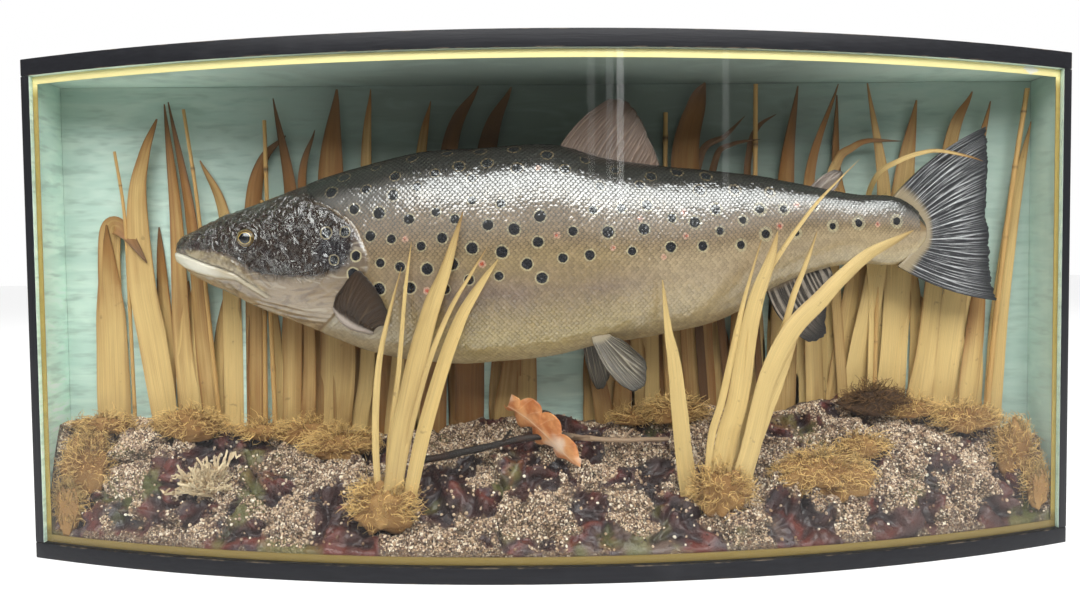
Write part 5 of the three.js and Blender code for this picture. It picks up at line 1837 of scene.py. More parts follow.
# The reeds of the back rows: width, row, lean and then the [x, z] points of its line, all in mm.
BACK_BLADES = {
    1: [
        (30, 1, 3, (-438, 124), (-438, 214), (-439, 270), (-439, 318)),
        (22, 1, 8, (-439, 250), (-437, 300), (-432, 317), (-417, 307), (-398, 280)),
        (27, 2, 6, (-386, 128), (-396, 203), (-405, 263), (-407, 342), (-398, 386), (-384, 420)),
        (20, 0, 4, (-363, 128), (-369, 203), (-372, 327), (-380, 436)),
        (19, 1, 6, (-341, 123), (-348, 203), (-357, 327), (-374, 437)),
        (19, 0, 0, (-320, 117), (-320, 242), (-326, 330), (-348, 381)),
    ],
    2: [
        (19, 0, 6, (-300, 122), (-298, 242), (-296, 334), (-285, 380), (-261, 404)),
        (20, 0, 8, (-262, 122), (-258, 242), (-258, 348), (-272, 440)),
        (15, 1, 4, (-245, 121), (-242, 202), (-246, 355), (-232, 409)),
        (40, 0, 10, (-220, 121), (-214, 191), (-217, 360), (-209, 448)),
        (17, 1, 6, (-193, 121), (-184, 191), (-182, 378), (-176, 448)),
        (16, 0, 4, (-161, 120), (-146, 240), (-128, 387), (-118, 437)),
        (27, 1, 12, (-120, 120), (-112, 240), (-99, 391), (-70, 449)),
    ],
    3: [
        (30, 0, 10, (-84, 124), (-80, 240), (-62, 391), (-38, 449)),
        (24, 1, 0, (-48, 129), (-42, 179), (-31, 309)),
        (22, 0, 0, (-27, 129), (-25, 209), (-23, 292)),
        (18, 1, 0, (51, 128), (40, 188), (28, 279)),
        (20, 0, 0, (70, 132), (71, 198), (69, 298)),
    ],
    4: [
        (15, 1, 0, (100, 132), (100, 238), (92, 357)),
        (34, 1, 16, (148, 137), (143, 237), (133, 371), (144, 430), (151, 450)),
        (28, 0, 0, (186, 136), (190, 237), (186, 330)),
        (9, 2, 10, (152, 134), (141, 310), (149, 382), (172, 399), (191, 418)),
        (8, 1, 14, (178, 132), (160, 320), (164, 378), (179, 391), (206, 395)),
        (8, 2, 12, (210, 126), (196, 330), (197, 386), (205, 408), (221, 419)),
        (27, 0, 10, (232, 130), (234, 236), (234, 360), (245, 448)),
    ],
    5: [
        (17, 1, 10, (265, 130), (261, 236), (257, 358), (284, 449)),
        (25, 0, 4, (288, 135), (300, 215), (306, 286), (287, 356), (286, 440)),
        (24, 1, 12, (302, 135), (312, 195), (322, 245), (331, 340), (312, 449)),
        (10, 2, 10, (292, 136), (279, 330), (285, 374), (299, 387), (314, 393), (345, 392)),
        (34, 0, 6, (341, 129), (347, 205), (353, 342), (365, 434)),
        (26, 1, 8, (368, 124), (379, 205), (397, 383), (418, 441)),
        (26, 0, 8, (395, 128), (406, 234), (422, 355), (438, 432)),
        (22, 1, 0, (420, 128), (429, 214), (436, 294)),
        (18, 0, 6, (446, 112), (454, 234), (468, 344), (480, 412)),
    ],
}
BACK_STEMS = {
    1: [
        (5, 2, 4, (-416, 119), (-418, 243), (-420, 328), (-427, 389)),
        (6, 2, 6, (-332, 117), (-335, 161), (-342, 253), (-348, 342), (-358, 429)),
    ],
    2: [(7, 1, 2, (-288, 117), (-286, 242), (-286, 341)), (7, 2, 5, (-277, 117), (-279, 242), (-280, 418))],
    4: [
        (8, 0, 4, (116, 137), (113, 238), (115, 424)),
        (8, 2, 8, (194, 136), (201, 237), (202, 449)),
    ],
    5: [
        (7, 2, 0, (324, 139), (325, 205), (330, 335)),
        (8, 2, 8, (437, 107), (447, 234), (460, 354), (471, 443)),
    ],
}
BANK_TONES = {1: (0.0, 0.5), 2: (0.15, 0.9), 3: (0.4, 0.95), 4: (0.1, 0.8), 5: (-0.3, 0.35)}
# A slim leaf of the last bank that bends over the tail fin: width and [x, y, z] line.
OVER_TAIL = (5.5, [
    (318, 55, 112), (320, 55, 235), (312, 50, 320), (314, 30, 356), (330, 17, 369), (350, 16, 376),
    (369, 17, 378), (398, 20, 373), (414, 24, 369),
])
BACK_ROW_Y = 62.5
ROW_STEP = 3.2
ROOT_DEPTH = 28

# The reeds in front of the fish, each a width and its [x, y, z] line in mm.
FRONT_TUFTS = {
    "reed_tuft_left": [
        (6, [(-157, -45, 62), (-158, -50, 120), (-155, -51, 180), (-147, -51, 222), (-133, -50, 272)]),
        (5, [(-150, -42, 62), (-146, -48, 120), (-137, -50, 180), (-130, -50, 252), (-124, -50, 294)]),
        (18, [
            (-147, -46, 60), (-137, -52, 120), (-123, -54, 183), (-108, -54, 235), (-95, -54, 269),
            (-79, -54, 319),
        ]),
        (5, [
            (-142, -40, 64), (-127, -52, 130), (-109, -57, 192), (-91, -57, 235), (-73, -57, 265),
            (-58, -57, 289),
        ]),
        (13, [
            (-132, -42, 62), (-118, -52, 120), (-99, -55, 183), (-83, -56, 226), (-65, -57, 256),
            (-49, -58, 278),
        ]),
    ],
    "reed_tuft_right": [
        (7, [
            (133, -42, 66), (136, -48, 120), (145, -49, 153), (157, -49, 206), (165, -48, 241),
            (181, -46, 293),
        ]),
        (19, [
            (143, -43, 70), (150, -47, 120), (159, -48, 152), (166, -47, 196), (176, -46, 240),
            (189, -45, 275), (196, -44, 300),
        ]),
        (5, [
            (154, -40, 72), (168, -46, 180), (173, -44, 231), (179, -41, 240), (190, -40, 266),
            (208, -38, 293), (230, -37, 322), (248, -36, 341), (272, -34, 364),
        ]),
        (17, [
            (155, -42, 70), (168, -46, 100), (186, -45, 169), (209, -42, 213), (235, -39, 239),
            (253, -37, 257), (280, -33, 279), (307, -28, 292), (325, -24, 301),
        ]),
        (24, [(160, -40, 72), (178, -40, 134), (198, -37, 178), (218, -34, 213)]),
        (6, [
            (166, -36, 76), (190, -33, 178), (206, -32, 218), (214, -31, 244), (223, -30, 266),
            (230, -30, 284), (236, -29, 301),
        ]),
    ],
    "reed_front": [
        (16, [
            (120, -27, 56), (118, -30, 76), (113, -37, 110), (107, -45, 154), (103, -49, 189), (98, -51, 215),
            (93, -52, 259),
        ]),
    ],
}


def back_line_of(row, lean, points):
    """A back row reed's [x, y, z] line, from its root in the bank up to its leaning top."""
    rooted = [(points[0][0], points[0][1] - ROOT_DEPTH), *points]
    lean_at = [lean * (i / len(points)) ** 2 for i in range(len(rooted))]
    return [(x, BACK_ROW_Y - ROW_STEP * row - away, z) for (x, z), away in zip(rooted, lean_at)]


def add_blades(
    name, blades, finish, seed, *nodes, tone=(0.0, 0.45), fold=0.3, twist=0.25, dark_slim=False, browned=0.0,
):
    """Dried leaves, each a (width, line) pair in mm: folded, twisted a little and browned at the tip."""
    random = np.random.default_rng(seed)
    blank = blade_blank()
    across, through_, t = blank.points.T
    steps = 80
    places, tones, lies = [], [], []
    for width, line in blades:
        path = curve(line, steps) * MM
        length = np.linalg.norm(np.diff(path, axis=0), axis=1).sum()
        at = t * (steps - 1)
        i = np.minimum(at.astype(int), steps - 2)
        f = (at - i)[:, None]
        centre = lerp(path[i], path[i + 1], f)
        ahead = unit(np.gradient(path, axis=0))
        ahead = unit(lerp(ahead[i], ahead[i + 1], f))
        side = unit(np.stack([ahead[:, 2], 0 * t, -ahead[:, 0]], 1))
        out = np.cross(side, ahead)
        wave, phase = random.uniform(3, 8), random.uniform(0, 6)
        turn = (twist * np.sin(wave * t + phase) + random.normal(0, 0.12))[:, None]
        side, out = side * np.cos(turn) + out * np.sin(turn), out * np.cos(turn) - side * np.sin(turn)
        half = width / 2 * MM * ((1 - t**2.2) * (0.85 + 0.5 * t) + 0.05)
        ragged = 1 + 0.05 * noise(np.stack([t * 9, np.sign(across), 0 * t], 1), 1.0, int(random.integers(99)))
        bend = random.uniform(0.4, 1.2) * fold * random.choice([-1, 1], p=[0.35, 0.65])
        lift = bend * half * (across**2 - 0.4) * (0.6 + 0.4 * np.sin(4 * t + phase))
        rib = 0.12 * MM * np.sin(across * width * 0.9)
        point = centre + side * (across * half * ragged)[:, None]
        point += out * (lift + rib + through_ * BLADE_HALF_THICKNESS)[:, None]
        point[:, 1] = np.minimum(point[:, 1], BACKBOARD_Y - 0.4 * MM)
        places.append(point)
        own = random.uniform(*tone) + (0.6 if dark_slim and 6 < width <= 10 else 0.0)
        edge = 0.25 * np.abs(across) ** 6
        tones.append(own + edge + smooth_step(t, 0.72, 1.0) * 0.4 + smooth_step(t, 0.35, 0.8) * browned)
        lies.append(np.stack([across * half + random.uniform(0, 1), t * length + random.uniform(0, 1)], 1))
    places = np.array(places)
    piece = blank.copies(name, places)
    note(piece, "tone", np.array(tones))
    map_vertices(piece, "Lie", np.concatenate(lies))
    map_columns(piece, len(blades), 0.25 * (across + 1) + 0.5 * (through_ < 0), t)
    shown(piece, finish, "dried_reed", *nodes)


def map_columns(piece, count, across, along):
    """Unrolls many copies of a long blank side by side, each in an upright column of its own."""
    columns = (np.arange(count)[:, None] + 0.04 + 0.92 * across) / count
    rows = np.broadcast_to(0.01 + 0.98 * along, columns.shape)
    map_vertices(piece, "OFBake", np.stack([columns, rows], -1).reshape(-1, 2))


def add_canes(name, canes, finish, seed):
    """Round stems with a knot every few centimetres."""
    random = np.random.default_rng(seed)
    blank = tube_blank(sides=10, rings=90)
    steps = 91
    paths = np.array([curve(line, steps) for _, line in canes]) * MM
    length = np.linalg.norm(np.diff(paths, axis=1), axis=2).sum(1)[:, None]
    t = np.linspace(0, 1, steps)[None]
    knot_step = random.uniform(0.045, 0.07, (len(canes), 1))
    along = (t * length / knot_step + random.uniform(0, 1, (len(canes), 1))) % 1 - 0.5
    knot = np.exp(-((along / 0.035) ** 2))
    width = np.array([w for w, _ in canes])[:, None] * MM
    radii = width / 2 * (1 - 0.3 * t) * 0.8 * (1 + 0.22 * knot)
    points = along_paths(blank, paths, radii)
    piece = blank.copies(name, points)
    at = np.clip(blank.points[:, 2], 0, 1)
    tone = np.stack([np.interp(at, t[0], row) for row in knot])
    note(piece, "tone", tone * 0.9)
    round_ = np.arctan2(blank.points[:, 1], blank.points[:, 0])
    lie = np.stack([np.stack([round_ * w[0] / 2, at * n[0]], 1) for w, n in zip(width, length)])
    map_vertices(piece, "Lie", lie.reshape(-1, 2))
    map_columns(piece, len(canes), round_ / (2 * math.pi) + 0.5, at)
    shown(piece, finish, "dried_reed")


# Runs of the back row with no gap between reeds: from x, to x and the height of their tops, in mm.
FILLED = {
    1: [(-392, -352, 250, 320), (-343, -318, 240, 300)],
    2: [(-304, -292, 240, 300), (-280, -112, 240, 320)],
    3: [(-104, -84, 250, 300), (-62, -28, 200, 280), (34, 68, 200, 280)],
    4: [(82, 236, 230, 330)],
    5: [(250, 300, 240, 330), (312, 350, 240, 330), (366, 436, 220, 300)],
}
FILLER_Y = 63.5
FILLER_DEPTH = 25


def filler_blades(bank):
    """Plain dark leaves behind the others, which close the back row."""
    random = np.random.default_rng(900 + bank)
    blades = []
    for from_x, to_x, low, high in FILLED[bank]:
        x = from_x + 5
        while x < to_x:
            width = random.uniform(13, 21)
            top, lean = random.uniform(low, high), random.normal(0, 8)
            z = float(bank_line(x))
            middle = (x + lean * 0.2, FILLER_Y, lerp(z, top, 0.5))
            line = [(x, FILLER_Y, z - FILLER_DEPTH), middle, (x + lean, FILLER_Y - 0.3, top)]
            blades.append((width, line))
            x += width * random.uniform(0.75, 1.05)
    return blades


def build_reeds():
    """Every bank of the back row with its fillers and canes, then the tufts in front."""
    back = reed_finish("reed_back", (0.66, 0.455, 0.18), (0.27, 0.115, 0.026))
    front = reed_finish("reed_front", (0.64, 0.45, 0.18), (0.28, 0.15, 0.045))
    cane = stem_finish()
    for bank, reeds in BACK_BLADES.items():
        blades = [(width, back_line_of(row, lean, points)) for width, row, lean, *points in reeds]
        if bank == 5:
            blades.append(OVER_TAIL)
        blades += filler_blades(bank)
        add_blades(
            f"reeds_back_{bank}", blades, back, 70 + bank, f"reed_bank_{bank}", tone=BANK_TONES[bank],
            dark_slim=True, browned=0.38,
        )
    for bank, stems in BACK_STEMS.items():
        canes = [(width, back_line_of(row, lean, points)) for width, row, lean, *points in stems]
        add_canes(f"canes_{bank}", canes, cane, 80 + bank)
    for number, (node, blades) in enumerate(FRONT_TUFTS.items()):
        add_blades(
            f"{node}_blades", blades, front, 90 + number, node, tone=(-0.1, 0.3), fold=0.55, twist=0.12,
        )


# ---------------------------------------------------------------- moss, lichen, twig and leaf

# Each clump, named after its CAD node where it has one: centre and radii in mm, and its strands.
MOSS_LUMPS = {
    "moss_corner_left": ((-447, 27, 82), (24, 14, 40), 620),
    "moss_bank_left": ((-352, 33, 121), (38, 10, 15), 560),
    "moss_bank_middle": ((-205, 22, 103), (40, 18, 16), 620),
    "moss_behind_twig": ((118, 34, 128), (34, 9, 14), 520),
    "moss_dark": ((314, 33, 136), (34, 11, 15), 560),
    "moss_large": ((247, -12, 74), (52, 24, 26), 1150),
    "moss_bank_right": ((405, 33, 118), (34, 10, 14), 520),
    "moss_corner_right": ((452, 32, 84), (18, 10, 36), 520),
    "moss_tuft_left": ((-154, -42, 60), (32, 14, 27), 620),
    "moss_tuft_right": ((146, -42, 70), (27, 13, 26), 560),
    "moss_patch_left": ((-462, 10, 50), (16, 12, 26), 300),
    "moss_patch_bank": ((-285, 38, 114), (30, 8, 9), 260),
    "moss_patch_behind": ((-240, 38, 112), (38, 8, 12), 320),
    "moss_patch_middle": ((78, 40, 122), (22, 7, 9), 220),
    "moss_patch_low": ((292, 8, 96), (24, 12, 12), 260),
    "moss_patch_right": ((352, 38, 128), (30, 8, 10), 260),
    "moss_patch_corner": ((-436, 38, 122), (34, 9, 10), 300),
    "moss_patch_end": ((466, 14, 56), (12, 12, 24), 240),
}


def add_moss(name, centre, radii, count, finish, seed, *nodes):
    """A clump of curly strands round a core."""
    random = np.random.default_rng(seed)
    centre, radii = np.array(centre) * MM, np.array(radii) * MM
    deselect()
    bpy.ops.mesh.primitive_ico_sphere_add(subdivisions=4, radius=1)
    core = Blank(bpy.context.object)
    swell = 0.80 + 0.26 * rough(core.points, 0.5, 3, seed)
    core_points = centre + core.points * swell[:, None] * radii
    blank = tube_blank(sides=3, rings=4)
    way = unit(random.normal(0, 1, (count, 3)))
    way[:, 2] = np.abs(way[:, 2]) * random.choice([1, 1, 1, -0.5], count)
    way[:, 1] *= np.where(way[:, 1] > 0, 0.6, 1)
    start = centre + way * radii * 0.78
    steps = 10
    curl = unit(random.normal(0, 1, (count, 3)))
    other = unit(np.cross(curl, way))
    span = random.uniform(4, 15, (count, 1)) * MM
    t = np.linspace(0, 1, steps)
    paths = []
    spin = random.uniform(3, 8, (count, 1))
    phase = random.uniform(0, 6, (count, 1))
    for share in t:
        coil = curl * np.cos(spin * share + phase) + other * np.sin(spin * share + phase)
        paths.append(start + unit(way * radii) * span * share + coil * span * 0.33 * share**0.6)
    paths = np.stack(paths, 1)
    radius = random.uniform(0.3, 0.6, (count, 1)) * MM * (1 - 0.6 * t[None])
    points = along_paths(blank, paths, radius)
    strands = blank.faces[None] + (len(core.points) + np.arange(count) * len(blank.points))[:, None, None]
    places = np.vstack([core_points, points.reshape(-1, 3)])
    places[:, 0] = np.clip(places[:, 0], -INSIDE_X + 0.5 * MM, INSIDE_X - 0.5 * MM)
    front = ground_front_y(places[:, 0]) + 0.3 * MM
    places[:, 1] = np.clip(places[:, 1], front, BACKBOARD_Y - 0.5 * MM)
    places[:, 2] = np.maximum(places[:, 2], FLOOR_Z + 2 * MM)
    piece = piece_of(name, places, np.vstack([core.faces, strands.reshape(-1, 3)]))
    # Strands darken towards their roots and the core is darkest, partly the moss's brown stems and partly
    # painted shade inside the clump.
    tint = np.repeat(random.uniform(0, 1, count), len(blank.points)).reshape(count, -1)
    tint = tint - 0.5 * blank.points[:, 2][None] + 0.2
    note(piece, "tint", np.concatenate([np.full(len(core.points), 1.0), tint.ravel()]))
    spread = np.concatenate([core.points[:, [0, 2]], np.repeat(way[:, [0, 2]], len(blank.points), axis=0)])
    map_vertices(piece, "OFBake", spread * 0.45 + 0.5)
    shown(piece, finish, "dried_moss", *nodes, name=name + "_clump")


def build_moss():
    """Every clump of moss, one of them dark."""
    light = moss_finish("dried_moss", (1.0, 0.68, 0.26), (0.23, 0.105, 0.028))
    dark = moss_finish("dark_moss", (0.26, 0.13, 0.04), (0.05, 0.022, 0.009))
    thick = bpy.context.scene.trout_ground.moss
    for number, (name, (centre, radii, count)) in enumerate(MOSS_LUMPS.items()):
        nodes = (name,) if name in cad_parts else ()
        finish = dark if name == "moss_dark" else light
        add_moss(name, centre, radii, int(count * thick), finish, 110 + number, *nodes)


def build_lichen():
    """A low tuft of forked branches that stands on the rockwork."""
    random = np.random.default_rng(131)
    foot = np.array([-326, 4]) * MM
    base = rock_z(foot[:1], foot[1:])[0]
    count, steps = 80, 12
    way = random.uniform(0, 2 * np.pi, count)
    lean = random.uniform(0.2, 1.35, count)
    length = random.uniform(14, 34, count) * MM
    ahead = np.stack([np.sin(lean) * np.cos(way), np.sin(lean) * np.sin(way), np.cos(lean)], 1)
    start = np.stack([
        foot[0] + random.normal(0, 5, count) * MM, foot[1] + random.normal(0, 3, count) * MM,
        np.full(count, base - 1 * MM),
    ], 1)
    t = np.linspace(0, 1, steps)[None, :, None]

    def strayed(tip, axis):
        """How far one branch strays from straight, in one direction."""
        return noise(np.stack([t[0, :, 0] * 4, np.full(steps, tip * 3.7), np.full(steps, axis)], 1), 1, 5)

    wander = np.stack([np.stack([strayed(tip, axis) for axis in range(3)], 1) for tip in range(count)])
    paths = start[:, None] + ahead[:, None] * t * length[:, None, None] + wander * 4 * MM * t
    twigs = [paths]
    for _ in range(3):
        root = random.integers(4, 10, count)
        stem = paths[np.arange(count), root]
        side = unit(ahead + random.normal(0, 0.75, (count, 3)))
        side[:, 2] = np.abs(side[:, 2])
        reach = random.uniform(4, 10, count)[:, None, None] * MM
        twigs.append(stem[:, None] + side[:, None] * t * reach + wander[::-1] * 2.5 * MM * t)
    paths = np.vstack(twigs)
    radii = np.repeat([[1.0], [0.65], [0.6], [0.6]], count, axis=0) * MM * (2.0 - 1.0 * t[..., 0])
    blank = tube_blank(sides=5, rings=8)
    points = along_paths(blank, paths, radii)
    floor = rock_z(points[..., 0].ravel(), points[..., 1].ravel()).reshape(points.shape[:2])
    points[..., 2] = np.maximum(points[..., 2], floor - 1 * MM)
    patches = np.stack([
        0.5 + 0.45 * np.cos(np.arange(len(paths))), np.linspace(0.02, 0.98, len(paths)),
    ], 1)
    piece = blank.copies("lichen_branches", points, patches)
    tint = random.uniform(0, 0.6, len(paths))[:, None] + blank.points[:, 2][None] * 0.5
    note(piece, "tint", tint)
    shown(piece, lichen_finish(), "pale_lichen", "lichen")


# The twig from its left end, as [x, y] in mm, and its side shoots: step, way and length in mm.
TWIG_ROUTE = [(-134, -6), (-79, -2), (-14, 3), (19, 4), (62, 6), (107, 2)]
TWIG_SHOOTS = [(34, (0.5, -0.4, 0.75), 18), (70, (0.6, -0.7, 0.1), 24), (96, (0.7, 0.1, 0.7), 15)]


def build_twig():
    """A bare twig that lies along the rockwork, with three side shoots."""
    steps = 120
    route = curve(TWIG_ROUTE, steps) * MM
    around = [(dx, dy) for dx in (-14, -7, 0, 7, 14) for dy in (-14, -7, 0, 7, 14)]
    tops = [ground_z(route[:, 0] + dx * MM, route[:, 1] + dy * MM) for dx, dy in around]
    top = np.max(tops, axis=0)
    top = np.convolve(np.pad(top, 20, mode="edge"), np.ones(41) / 41, mode="valid") + 4.1 * MM
    path = np.column_stack([route, top])
    wobble = np.stack([path[:, 0] * 0 + a for a in range(3)], 1) + np.linspace(0, 9, steps)[:, None]
    path[:, 2] += 0.8 * MM * noise(wobble, 1.0, 3)
    twig_points = [path]
    radii = [3.5 * MM * (1.05 - 0.45 * np.linspace(0, 1, steps)) * (1 + 0.12 * noise(wobble * 3, 1.0, 7))]
    for at, side, long in TWIG_SHOOTS:
        t = np.linspace(0, 1, steps)[:, None]
        twig_points.append(path[at] + unit(np.array(side)) * t * long * MM)
        radii.append(1.5 * MM * (1.1 - 0.5 * t[:, 0]))
    blank = tube_blank(sides=12, rings=118)
    points = along_paths(blank, np.array(twig_points), np.array(radii))
    piece = blank.copies("twig_bark", points)
    round_ = np.arctan2(blank.points[:, 1], blank.points[:, 0]) * 2.6 * MM
    lie = np.stack([round_, np.clip(blank.points[:, 2], 0, 1) * 0.24], 1)
    map_vertices(piece, "Lie", np.tile(lie, (len(twig_points), 1)))
    shown(piece, bark_finish(), "dry_twig", "twig")


def build_leaf():
    """A lobed leaf with raised veins, leaning over the twig."""
    start, end = np.array([-44, 14, 140]) * MM, np.array([22, -22, 92]) * MM

    def place(u, v):
        lobes = 0.40 + 0.60 * np.abs(np.cos(3.6 * np.pi * u)) ** 0.7
        side = 2 * v - 1
        across = side * 27 * lobes * np.sin(np.pi * (0.10 + 0.86 * u)) ** 0.8
        curl = 6 * side**2 + 3 * np.sin(5 * u) + 1.4 * np.sin(26 * u + 3 * side) * np.abs(side)
        centre = lerp(start, end, u[:, None])
        offset = np.stack([0.35 * across, -0.62 * across, 0.55 * across + curl], 1) * MM
        found = centre + offset
        floor = rock_z(found[:, 0], found[:, 1]) + 1.2 * MM
        found[:, 2] = np.maximum(found[:, 2], floor)
        return found

    piece, u, v = grid_piece("oak_leaf_blade", 110, 60, place)
    side = np.abs(2 * v - 1)
    ribs = np.exp(-((((u * 6.6 - side * 1.1) % 1) - 0.5) / 0.07) ** 2) * (side > 0.04)
    midrib = np.maximum(np.exp(-((side / 0.045) ** 2)), 0.45 * np.exp(-((side / 0.3) ** 2)))
    note(piece, "vein", np.maximum(ribs * 0.42, midrib))
    modify(piece, "SOLIDIFY", thickness=0.7 * MM, offset=0)
    piece.data.shade_smooth()
    shown(piece, leaf_finish(), "dry_oak_leaf", "oak_leaf")


# ---------------------------------------------------------------- the stage


def add_panel(name, place, aim, size, power):
    """A soft light."""
    deselect()
    bpy.ops.object.light_add(type="AREA", location=place)
    light = bpy.context.object
    light.name = name
    light.data.shape = "RECTANGLE"
    light.data.size, light.data.size_y = size
    light.data.energy = power
    light.rotation_euler = (Vector(aim) - Vector(place)).to_track_quat("-Z", "Y").to_euler()
    return light


# The upright strip lights that the bowed glass mirrors: place across and share of the power.
STRIPS = [(0.545, 1.0), (0.47, 0.35), (0.34, 0.25), (1.35, 0.3)]


def build_stage():
    """Floor, soft lights, camera and room."""
    stage = bpy.context.scene.trout_stage
    deselect()
    bpy.ops.mesh.primitive_plane_add(size=60)
    floor = settle(bpy.context.object)
    floor.name = "floor"
    floor.data.materials.append(floor_finish())
    key = add_panel("key_panel", (0.2, -1.42, 1.62), (0.2, 0, 0.27), (3.5, 1.2), stage.key_power)
    key.data.spread = math.radians(140)
    for x, share in STRIPS:
        add_panel("strip", (x, -2.6, 0.95), (0.1, 0, 0.25), (0.05, 0.9), stage.strip_power * share)
    add_panel("back_panel", (0, 2.6, 3.0), (0, 1.4, 0), (6, 4), stage.back_power)
    camera = bpy.data.objects.new("camera", bpy.data.cameras.new("camera"))
    bpy.context.scene.collection.objects.link(camera)
    camera.matrix_world = view_matrix()
    camera.data.sensor_width = SENSOR
    camera.data.lens = SENSOR * VIEW_FOCUS / VIEW_SIZE[0]
    camera.data.clip_end = 50
    bpy.context.scene.camera = camera
    bpy.context.scene.view_settings.view_transform = "Standard"
    world = bpy.data.worlds.new("studio")
    bpy.context.scene.world = world
    world.use_nodes = True
    nodes, links = world.node_tree.nodes, world.node_tree.links
    place = nodes.new("ShaderNodeTexCoord")
    split = nodes.new("ShaderNodeSeparateXYZ")
    ramp = nodes.new("ShaderNodeValToRGB")
    shift = nodes.new("ShaderNodeMapRange")
    shift.inputs[1].default_value = -1
    links.new(place.outputs["Generated"], split.inputs[0])
    links.new(split.outputs["Y"], shift.inputs[0])
    links.new(shift.outputs[0], ramp.inputs[0])
    Finish.fill_ramp(ramp.color_ramp, [(at, (grey,) * 3) for at, grey in (
        (0.0, stage.front_light), (0.55, stage.front_light), (0.8, 1.0),
    )])
    links.new(ramp.outputs[0], nodes["Background"].inputs[0])


# ---------------------------------------------------------------- the add-on


class TROUT_PG_case(bpy.types.PropertyGroup):
    wood_colour: bpy.props.FloatVectorProperty(
        name="Wood", description="Colour of the black-stained boards", default=(0.011, 0.011, 0.013),
        subtype="COLOR", size=3,
    )
    paint_colour: bpy.props.FloatVectorProperty(
        name="Backboard", description="Colour of the painted backboard", default=(0.50, 0.66, 0.58),
        subtype="COLOR", size=3,
    )
    gilt_colour: bpy.props.FloatVectorProperty(
        name="Gilt", description="Colour of the gilt slip round the glass", default=(0.50, 0.35, 0.10),
        subtype="COLOR", size=3,
    )
    bow_cuts: bpy.props.IntProperty(
        name="Bow cuts", description="Cuts along each board that follows the bow", default=95, min=7,
    )


class TROUT_PG_fish(bpy.types.PropertyGroup):
    flank_colour: bpy.props.FloatVectorProperty(
        name="Flank", description="Colour of the middle of the flank", default=(0.29, 0.205, 0.12),
        subtype="COLOR", size=3,
    )
    back_colour: bpy.props.FloatVectorProperty(
        name="Back", description="Colour of the back", default=(0.021, 0.017, 0.013), subtype="COLOR", size=3,
    )
    fin_colour: bpy.props.FloatVectorProperty(
        name="Breast fins", description="Colour of the breast fins", default=(0.042, 0.022, 0.011),
        subtype="COLOR", size=3,
    )
    scale_pitch: bpy.props.FloatProperty(
        name="Scale pitch", description="Distance between scales along the flank", default=4.4 * MM,
        unit="LENGTH", min=3.5 * MM,
    )
    skin_sides: bpy.props.IntProperty(
        name="Skin sides", description="Places round each ring of the skin", default=208, min=32,
    )


class TROUT_PG_ground(bpy.types.PropertyGroup):
    rock_colour: bpy.props.FloatVectorProperty(
        name="Rock", description="Main colour of the rockwork", default=(0.075, 0.027, 0.022),
        subtype="COLOR", size=3,
    )
    rock_columns: bpy.props.IntProperty(
        name="Rock detail", description="Columns of the rockwork mesh", default=560, min=60,
    )
    grit: bpy.props.FloatProperty(
        name="Grit", description="How much grit is strewn", default=1.0, min=0.05, max=1.5, subtype="FACTOR",
    )
    moss: bpy.props.FloatProperty(
        name="Moss", description="How thick the moss grows", default=1.0, min=0.05, max=1.5, subtype="FACTOR",
    )


class TROUT_PG_stage(bpy.types.PropertyGroup):
    key_power: bpy.props.FloatProperty(
        name="Key light", description="Power of the large panel over the front", default=54.0, unit="POWER",
    )
    back_power: bpy.props.FloatProperty(
        name="Back light", description="Power of the panel over the floor behind the case", default=60.0,
        unit="POWER",
    )
    strip_power: bpy.props.FloatProperty(
        name="Strip lights", description="Power of the upright strips", default=1.2, unit="POWER",
    )
    front_light: bpy.props.FloatProperty(
        name="Front light", description="Brightness of the room in front of the case", default=0.10,
        subtype="FACTOR", min=0, max=1,
    )


class TROUT_OT_case(bpy.types.Operator):
    """Builds the boards of the case and paints its back"""

    bl_idname = "trout.case"
    bl_label = "Case"

    def execute(self, context):
        build_case()
        return {"FINISHED"}


class TROUT_OT_glazing(bpy.types.Operator):
    """Builds the bowed glass and its gilt slips"""

    bl_idname = "trout.glazing"
    bl_label = "Glass and gilt"

    def execute(self, context):
        build_glazing()
        return {"FINISHED"}


class TROUT_OT_skin(bpy.types.Operator):
    """Builds the skin of the trout and the scales over it"""

    bl_idname = "trout.skin"
    bl_label = "Skin and scales"

    def execute(self, context):
        skin = Skin(context.scene.trout_fish.skin_sides)
        build_skin(skin)
        build_scales(skin)
        return {"FINISHED"}


class TROUT_OT_eyes(bpy.types.Operator):
    """Builds the glass eyes"""

    bl_idname = "trout.eyes"
    bl_label = "Eyes"

    def execute(self, context):
        build_eyes()
        return {"FINISHED"}


class TROUT_OT_fins(bpy.types.Operator):
    """Builds the fins from their rays"""

    bl_idname = "trout.fins"
    bl_label = "Fins"

    def execute(self, context):
        build_fins()
        return {"FINISHED"}


class TROUT_OT_rockwork(bpy.types.Operator):
    """Builds the rockwork and the grit over it"""

    bl_idname = "trout.rockwork"
    bl_label = "Rockwork"

    def execute(self, context):
        build_rockwork()
        build_grit()
        return {"FINISHED"}


class TROUT_OT_reeds(bpy.types.Operator):
    """Builds the reeds of the back rows and the front tufts"""

    bl_idname = "trout.reeds"
    bl_label = "Reeds"

    def execute(self, context):
        build_reeds()
        return {"FINISHED"}


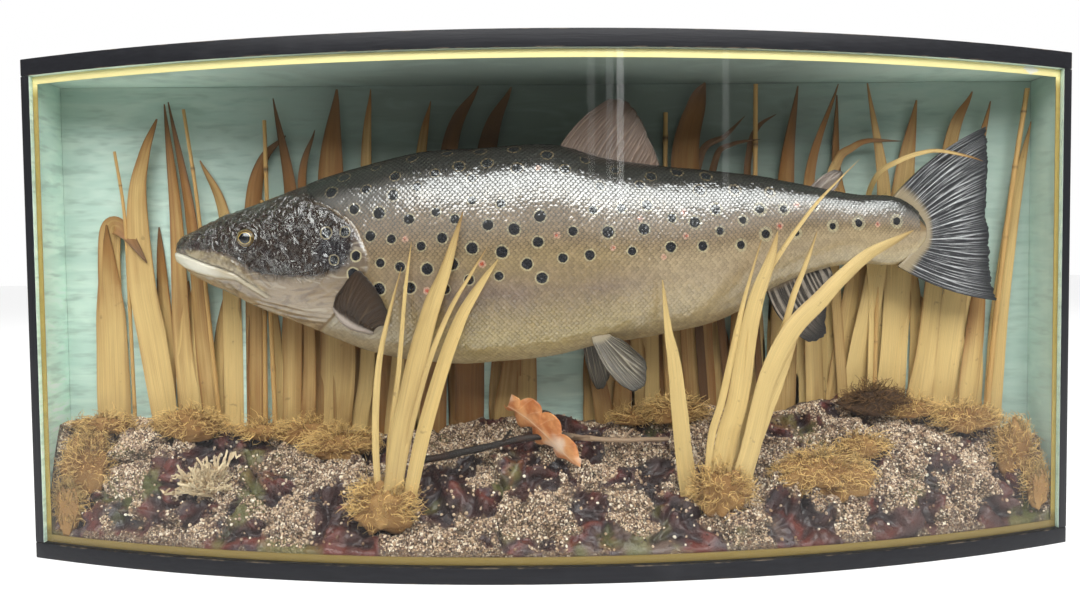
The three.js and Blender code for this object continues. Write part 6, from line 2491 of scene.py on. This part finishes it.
class TROUT_OT_litter(bpy.types.Operator):
    """Builds the moss, lichen, twig and oak leaf"""

    bl_idname = "trout.litter"
    bl_label = "Moss and litter"

    def execute(self, context):
        build_moss()
        build_lichen()
        build_twig()
        build_leaf()
        return {"FINISHED"}


class TROUT_OT_stage(bpy.types.Operator):
    """Builds the floor, the lights and the camera"""

    bl_idname = "trout.stage"
    bl_label = "Stage"

    def execute(self, context):
        build_stage()
        return {"FINISHED"}


OPERATORS = (
    TROUT_OT_case, TROUT_OT_glazing, TROUT_OT_skin, TROUT_OT_eyes, TROUT_OT_fins, TROUT_OT_rockwork,
    TROUT_OT_reeds, TROUT_OT_litter, TROUT_OT_stage,
)
GROUPS = {
    "trout_case": TROUT_PG_case, "trout_fish": TROUT_PG_fish, "trout_ground": TROUT_PG_ground,
    "trout_stage": TROUT_PG_stage,
}


class TROUT_PT_sidebar(bpy.types.Panel):
    bl_idname = "TROUT_PT_sidebar"
    bl_label = "Cased Brown Trout"
    bl_space_type = "VIEW_3D"
    bl_region_type = "UI"
    bl_category = "Trout"

    def draw(self, context):
        for name, group in GROUPS.items():
            box = self.layout.box()
            for field in group.__annotations__:
                box.prop(getattr(context.scene, name), field)
        for operator in OPERATORS:
            self.layout.operator(operator.bl_idname)


def register():
    for cls in (*GROUPS.values(), *OPERATORS, TROUT_PT_sidebar):
        bpy.utils.register_class(cls)
    for name, group in GROUPS.items():
        setattr(bpy.types.Scene, name, bpy.props.PointerProperty(type=group))


def unregister():
    for name in GROUPS:
        delattr(bpy.types.Scene, name)
    for cls in reversed((*GROUPS.values(), *OPERATORS, TROUT_PT_sidebar)):
        bpy.utils.unregister_class(cls)


def main():
    register()
    bpy.ops.trout.case()
    bpy.ops.trout.glazing()
    bpy.ops.trout.skin()
    bpy.ops.trout.eyes()
    bpy.ops.trout.fins()
    bpy.ops.trout.rockwork()
    bpy.ops.trout.reeds()
    bpy.ops.trout.litter()
    bpy.ops.trout.stage()


if __name__ == "__main__":
    main()
